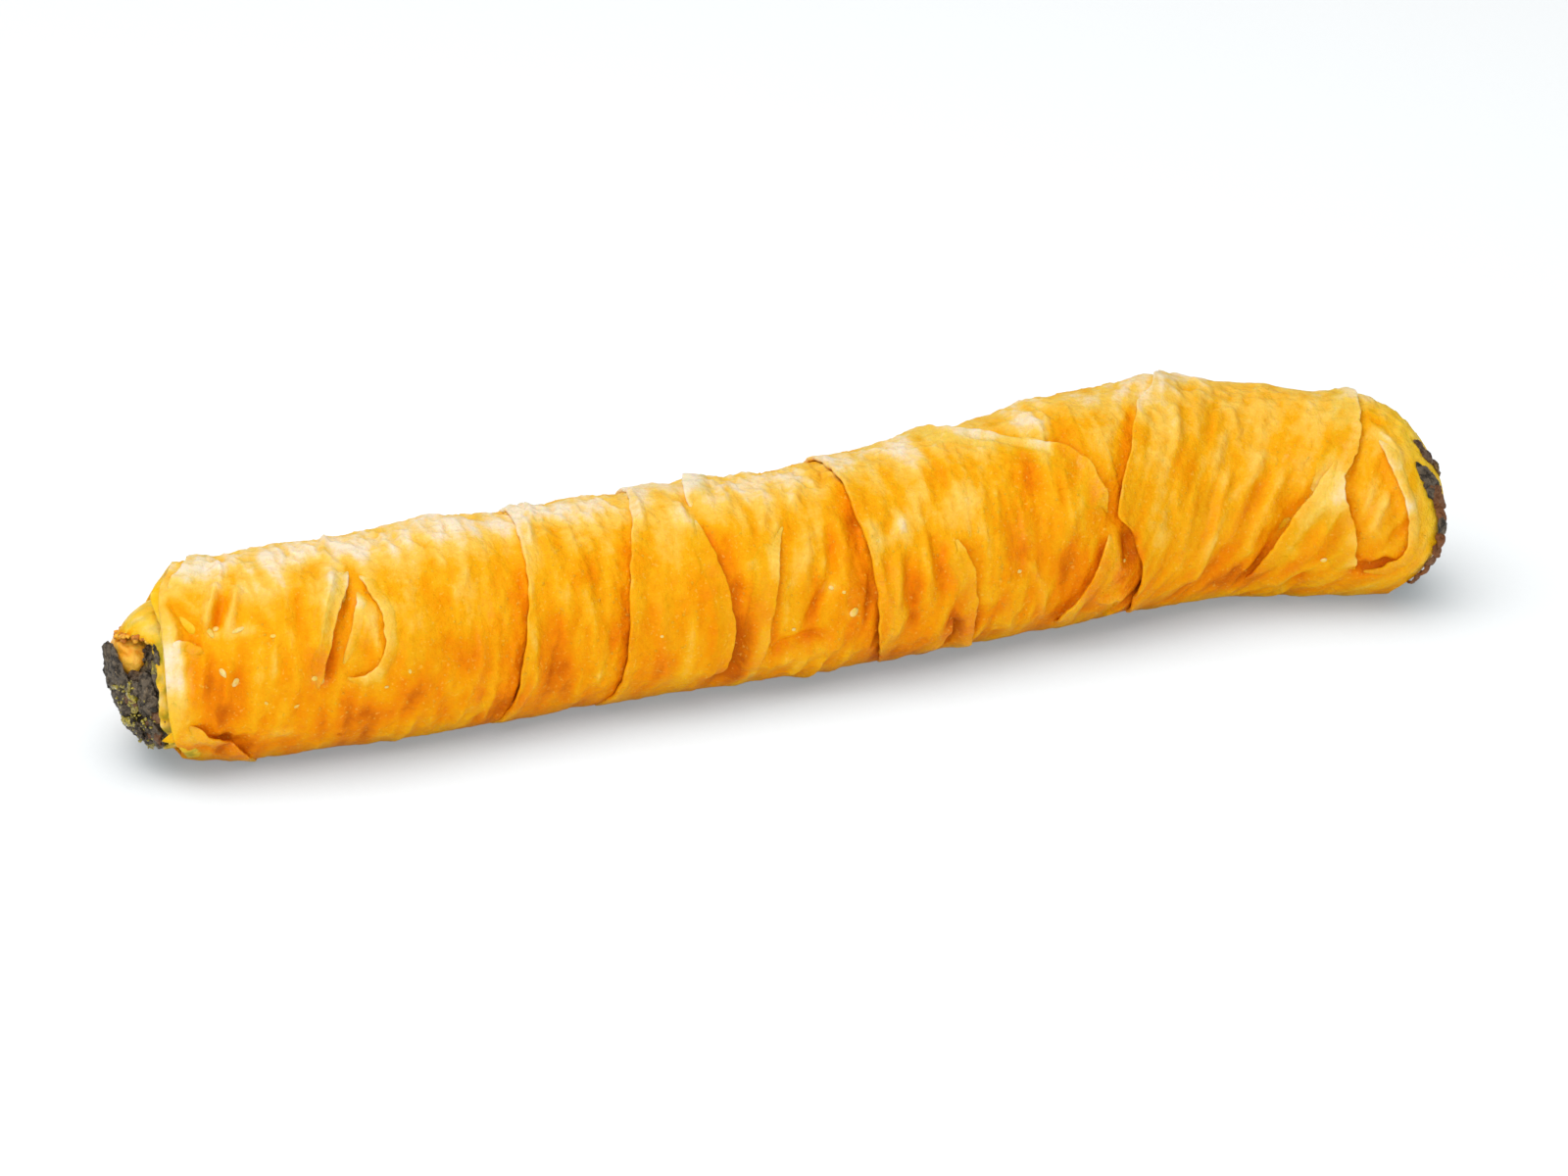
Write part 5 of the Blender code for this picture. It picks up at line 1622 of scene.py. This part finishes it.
def spinach_material():
    """Cooked leaf: near black with a grey sheen, the sheen partly painted on its raised parts and shade painted
    into its hollows; olive and yellow-green where oil and cheese cling to it, with golden glints painted into
    the oil.
    """
    made, graph = new_material("cooked_spinach")
    place = graph.add("ShaderNodeTexCoord", output="Object")
    oily = graph.look("oily")
    toast = graph.look("toast")
    patches = graph.noise(place, 0.0011, detail=3.0, distortion=0.6)
    veins = graph.noise(place, 0.0004, detail=4.0, roughness=0.7)
    films = graph.noise(place + (0.05, 0.02, 0.01), 0.0015, detail=2.0, distortion=0.8)
    # The same noises bump the leaf. Near black in the hollows and grey on the raised parts paints shade and
    # sheen over the leaf's own dark colour, and lighter raised veins are partly painted highlight.
    leaf = graph.mix(patches.between(0.36, 0.60), DARK_LEAF_AND_HOLLOW_SHADE, GREY_LEAF_AND_SHEEN)
    leaf = graph.mix(veins.between(0.52, 0.66) * 0.55, leaf, LEAF_VEIN_AND_HIGHLIGHT)
    leaf = graph.mix(toast * (0.4 + patches), leaf, BROWNED_LEAF)
    wet = (oily * 1.2 + (films - 0.5) * 1.1).between(0.48, 0.85)
    # Oil is olive, turning golden where the veins' bumps are raised: the oil's colour with painted glints.
    oil = graph.mix(veins.between(0.4, 0.6), OLIVE_OIL, GOLDEN_OIL_AND_GLINT)
    finish_material(graph, {
        "Base Color": graph.mix(wet, leaf, oil), "Roughness": 0.45 - 0.22 * wet + (veins - 0.5) * 0.3,
        "Coat Weight": wet * 0.9, "Coat Roughness": 0.1, "Specular IOR Level": 0.35,
    }, [(patches, 0.4), (veins, 0.25)])
    return made


def cheese_material():
    """Toasted cheese: soft orange-yellow, mottled paler and deeper, browned along its top, a little
    translucent.
    """
    made, graph = new_material("toasted_cheese")
    place = graph.add("ShaderNodeTexCoord", output="Object")
    curds = graph.noise(place, 0.0016, detail=3.0)
    fine = graph.noise(place, 0.0004, detail=3.0)
    toast = graph.look("toast")
    colour = graph.mix(curds.between(0.35, 0.65), DEEP_CHEESE, LIGHT_CHEESE)
    browned = (toast + (fine - 0.5) * 0.6 + (curds - 0.5) * 0.5).between(0.42, 0.75)
    colour = graph.mix(browned, colour, BROWNED_CHEESE)
    finish_material(graph, {
        "Base Color": colour, "Roughness": 0.38 + fine * 0.2, "Specular IOR Level": 0.3,
        "Subsurface Weight": 0.3, "Subsurface Radius": (1.0, 0.5, 0.15), "Subsurface Scale": 0.0012,
    }, [(curds, 0.3), (fine, 0.1)])
    return made


def floor_material():
    """A white table, matt, that glows a little as translucent acrylic over a lamp does."""
    made, graph = new_material("white_floor")
    place = graph.add("ShaderNodeTexCoord", output="Object")
    tooth = graph.noise(place, 0.0008, detail=2.0)
    colour = graph.mix(tooth, TABLE_WHITE, TABLE_TOOTH)
    finish_material(graph, {
        "Base Color": colour, "Roughness": 0.9, "Specular IOR Level": 0.05,
        "Emission Color": TABLE_GLOW, "Emission Strength": TABLE_GLOW_STRENGTH,
    }, [(tooth, 0.02)])
    return made


# --- The pieces -------------------------------------------------------------------------------------

# How thickly blisters and shreds are strewn, how large they are, in mm, and how far they tilt, in radians.
BLISTER = {"Per Square Metre": 0.35e6, "Smallest": 0.09, "Largest": 0.24, "Tilt": 0.0}
SHRED = {"Per Square Metre": 0.45e6, "Smallest": 0.3, "Largest": 0.75, "Tilt": 0.9}

# The corners of the two kinds of shred.
SHRED_CORNERS = [
    [(-1.0, -0.8, 0.0), (1.0, -0.5, 0.1), (0.9, 0.7, -0.1), (-0.8, 0.9, 0.1)],
    [(-1.5, -0.3, 0.0), (1.4, -0.4, 0.2), (1.5, 0.3, 0.0), (-1.3, 0.4, -0.2)],
]


def blisters(tree, turns, material):
    """Tiny blisters over each turn of the sheet."""
    forms = unit_ball(45.0, 45.0)[None] * (1.0, 0.8, 0.45)
    template = capped_rings("blister", forms - SHIFT, material, {"raised": 1.0})
    made = []
    for number, turn in enumerate(turns):
        values = {**BLISTER, "Copied": template, "Seed": 500 + number, "Finish": material}
        made.append(strewn(tree, f"{turn.name}_blisters", turn, values))
    bpy.data.objects.remove(template)
    return made


def shreds(tree, core, material):
    """Chopped leaf, crumpled and strewn over the filling's two ends."""
    made = []
    for number, corners in enumerate(SHRED_CORNERS):
        template = joined("shred", [leaf(np.array(corners) - SHIFT, 0.25, {}, 600 + number)], material)
        values = {**SHRED, "Copied": template, "Seed": 610 + number, "Finish": material}
        made.append(strewn(tree, f"spinach_shreds_{number + 1}", core, values))
        bpy.data.objects.remove(template)
    return made


PASTRY = pastry_material()
SPINACH = spinach_material()
CHEESE = cheese_material()
STREWING = strewing_tree()
turns = [turn_of_sheet(number, PASTRY) for number in range(len(TURNS) + 1)]
lips = [free_strip(name, fold, PASTRY) for name, fold in FREE_EDGES.items()]
mouths = [collar(PASTRY), right_lip(PASTRY)] + inner_turns(PASTRY)
core = spinach_core(SPINACH)
lump = cheese_lump(CHEESE)
beads = [
    oil_beads("oil_beads", LEFT_HEAP, LEFT_BEADS, on_left_mound, 89, SPINACH),
    oil_beads("right_oil_beads", RIGHT_HEAP, RIGHT_BEADS, on_right_mound, 93, SPINACH),
]
finishes = {
    "baked_pastry": turns + lips + mouths + [crumbs(PASTRY)] + blisters(STREWING, turns, PASTRY),
    "cooked_spinach": [core] + beads + leaves(SPINACH) + shreds(STREWING, core, SPINACH),
    "toasted_cheese": [lump, cheese_crust(CHEESE)],
}
for slot, pieces in finishes.items():
    for piece in pieces:
        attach(piece, "root")
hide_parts("pastry")
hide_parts("spinach_filling")
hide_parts("cheese_lump")


# --- Floor, light and camera ------------------------------------------------------------------------

FLOOR_SIZE = 3.0
DAYLIGHT = 0.42

# The camera: the point it looks at, its direction from there, its distance in metres and its lens in mm.
TARGET = (Vector((0.0, 0.0, 14.5)) + Vector(SHIFT)) * MM
AZIMUTH = math.radians(-22.0)
ELEVATION = math.radians(24.0)
DISTANCE = 0.833
LENS = 135.0


def floor():
    """The table that the roll lies on, which is not part of it."""
    corners = [(-1, -1), (1, -1), (1, 1), (-1, 1)]
    data = bpy.data.meshes.new("floor")
    data.from_pydata([(x * FLOOR_SIZE, y * FLOOR_SIZE, 0.0) for x, y in corners], [], [(0, 1, 2, 3)])
    made = link(data, floor_material())
    return made


def soft_light(name, place, size, watts, lit=None):
    """A square softbox that faces the roll. It lights everything, or only the objects in lit."""
    data = bpy.data.lights.new(name, "AREA")
    data.size = size
    data.energy = watts
    light = bpy.data.objects.new(name, data)
    light.location = Vector(place)
    light.rotation_euler = (Vector(place) - TARGET).to_track_quat("Z", "Y").to_euler()
    bpy.context.scene.collection.objects.link(light)
    if lit:
        light.light_linking.receiver_collection = lit


def daylight(strength):
    """Even white light from all round."""
    world = bpy.data.worlds.new("white_room")
    world.use_nodes = True
    world.node_tree.nodes["Background"].inputs["Color"].default_value = (1.0, 1.0, 1.0, 1.0)
    world.node_tree.nodes["Background"].inputs["Strength"].default_value = strength
    bpy.context.scene.world = world


def camera():
    """The camera, which looks down at the roll from its front left."""
    data = bpy.data.cameras.new("camera")
    data.lens = LENS
    data.sensor_width = 36.0
    data.clip_end = 20.0
    made = bpy.data.objects.new("camera", data)
    level = math.cos(ELEVATION)
    back = Vector((math.sin(AZIMUTH) * level, -math.cos(AZIMUTH) * level, math.sin(ELEVATION)))
    made.location = TARGET + back * DISTANCE
    made.rotation_euler = back.to_track_quat("Z", "Y").to_euler()
    bpy.context.scene.collection.objects.link(made)
    bpy.context.scene.camera = made


table = bpy.data.collections.new("table")
table.objects.link(floor())
daylight(DAYLIGHT)
soft_light("window", (-0.28, 0.08, 0.80), 0.5, 3.9)
soft_light("fill", (-0.30, -0.8, 0.42), 0.7, 3.9)
soft_light("table_light", (-0.15, -0.04, 0.9), 1.5, 66.0, lit=table)
camera()
bpy.context.scene.view_settings.view_transform = "Standard"
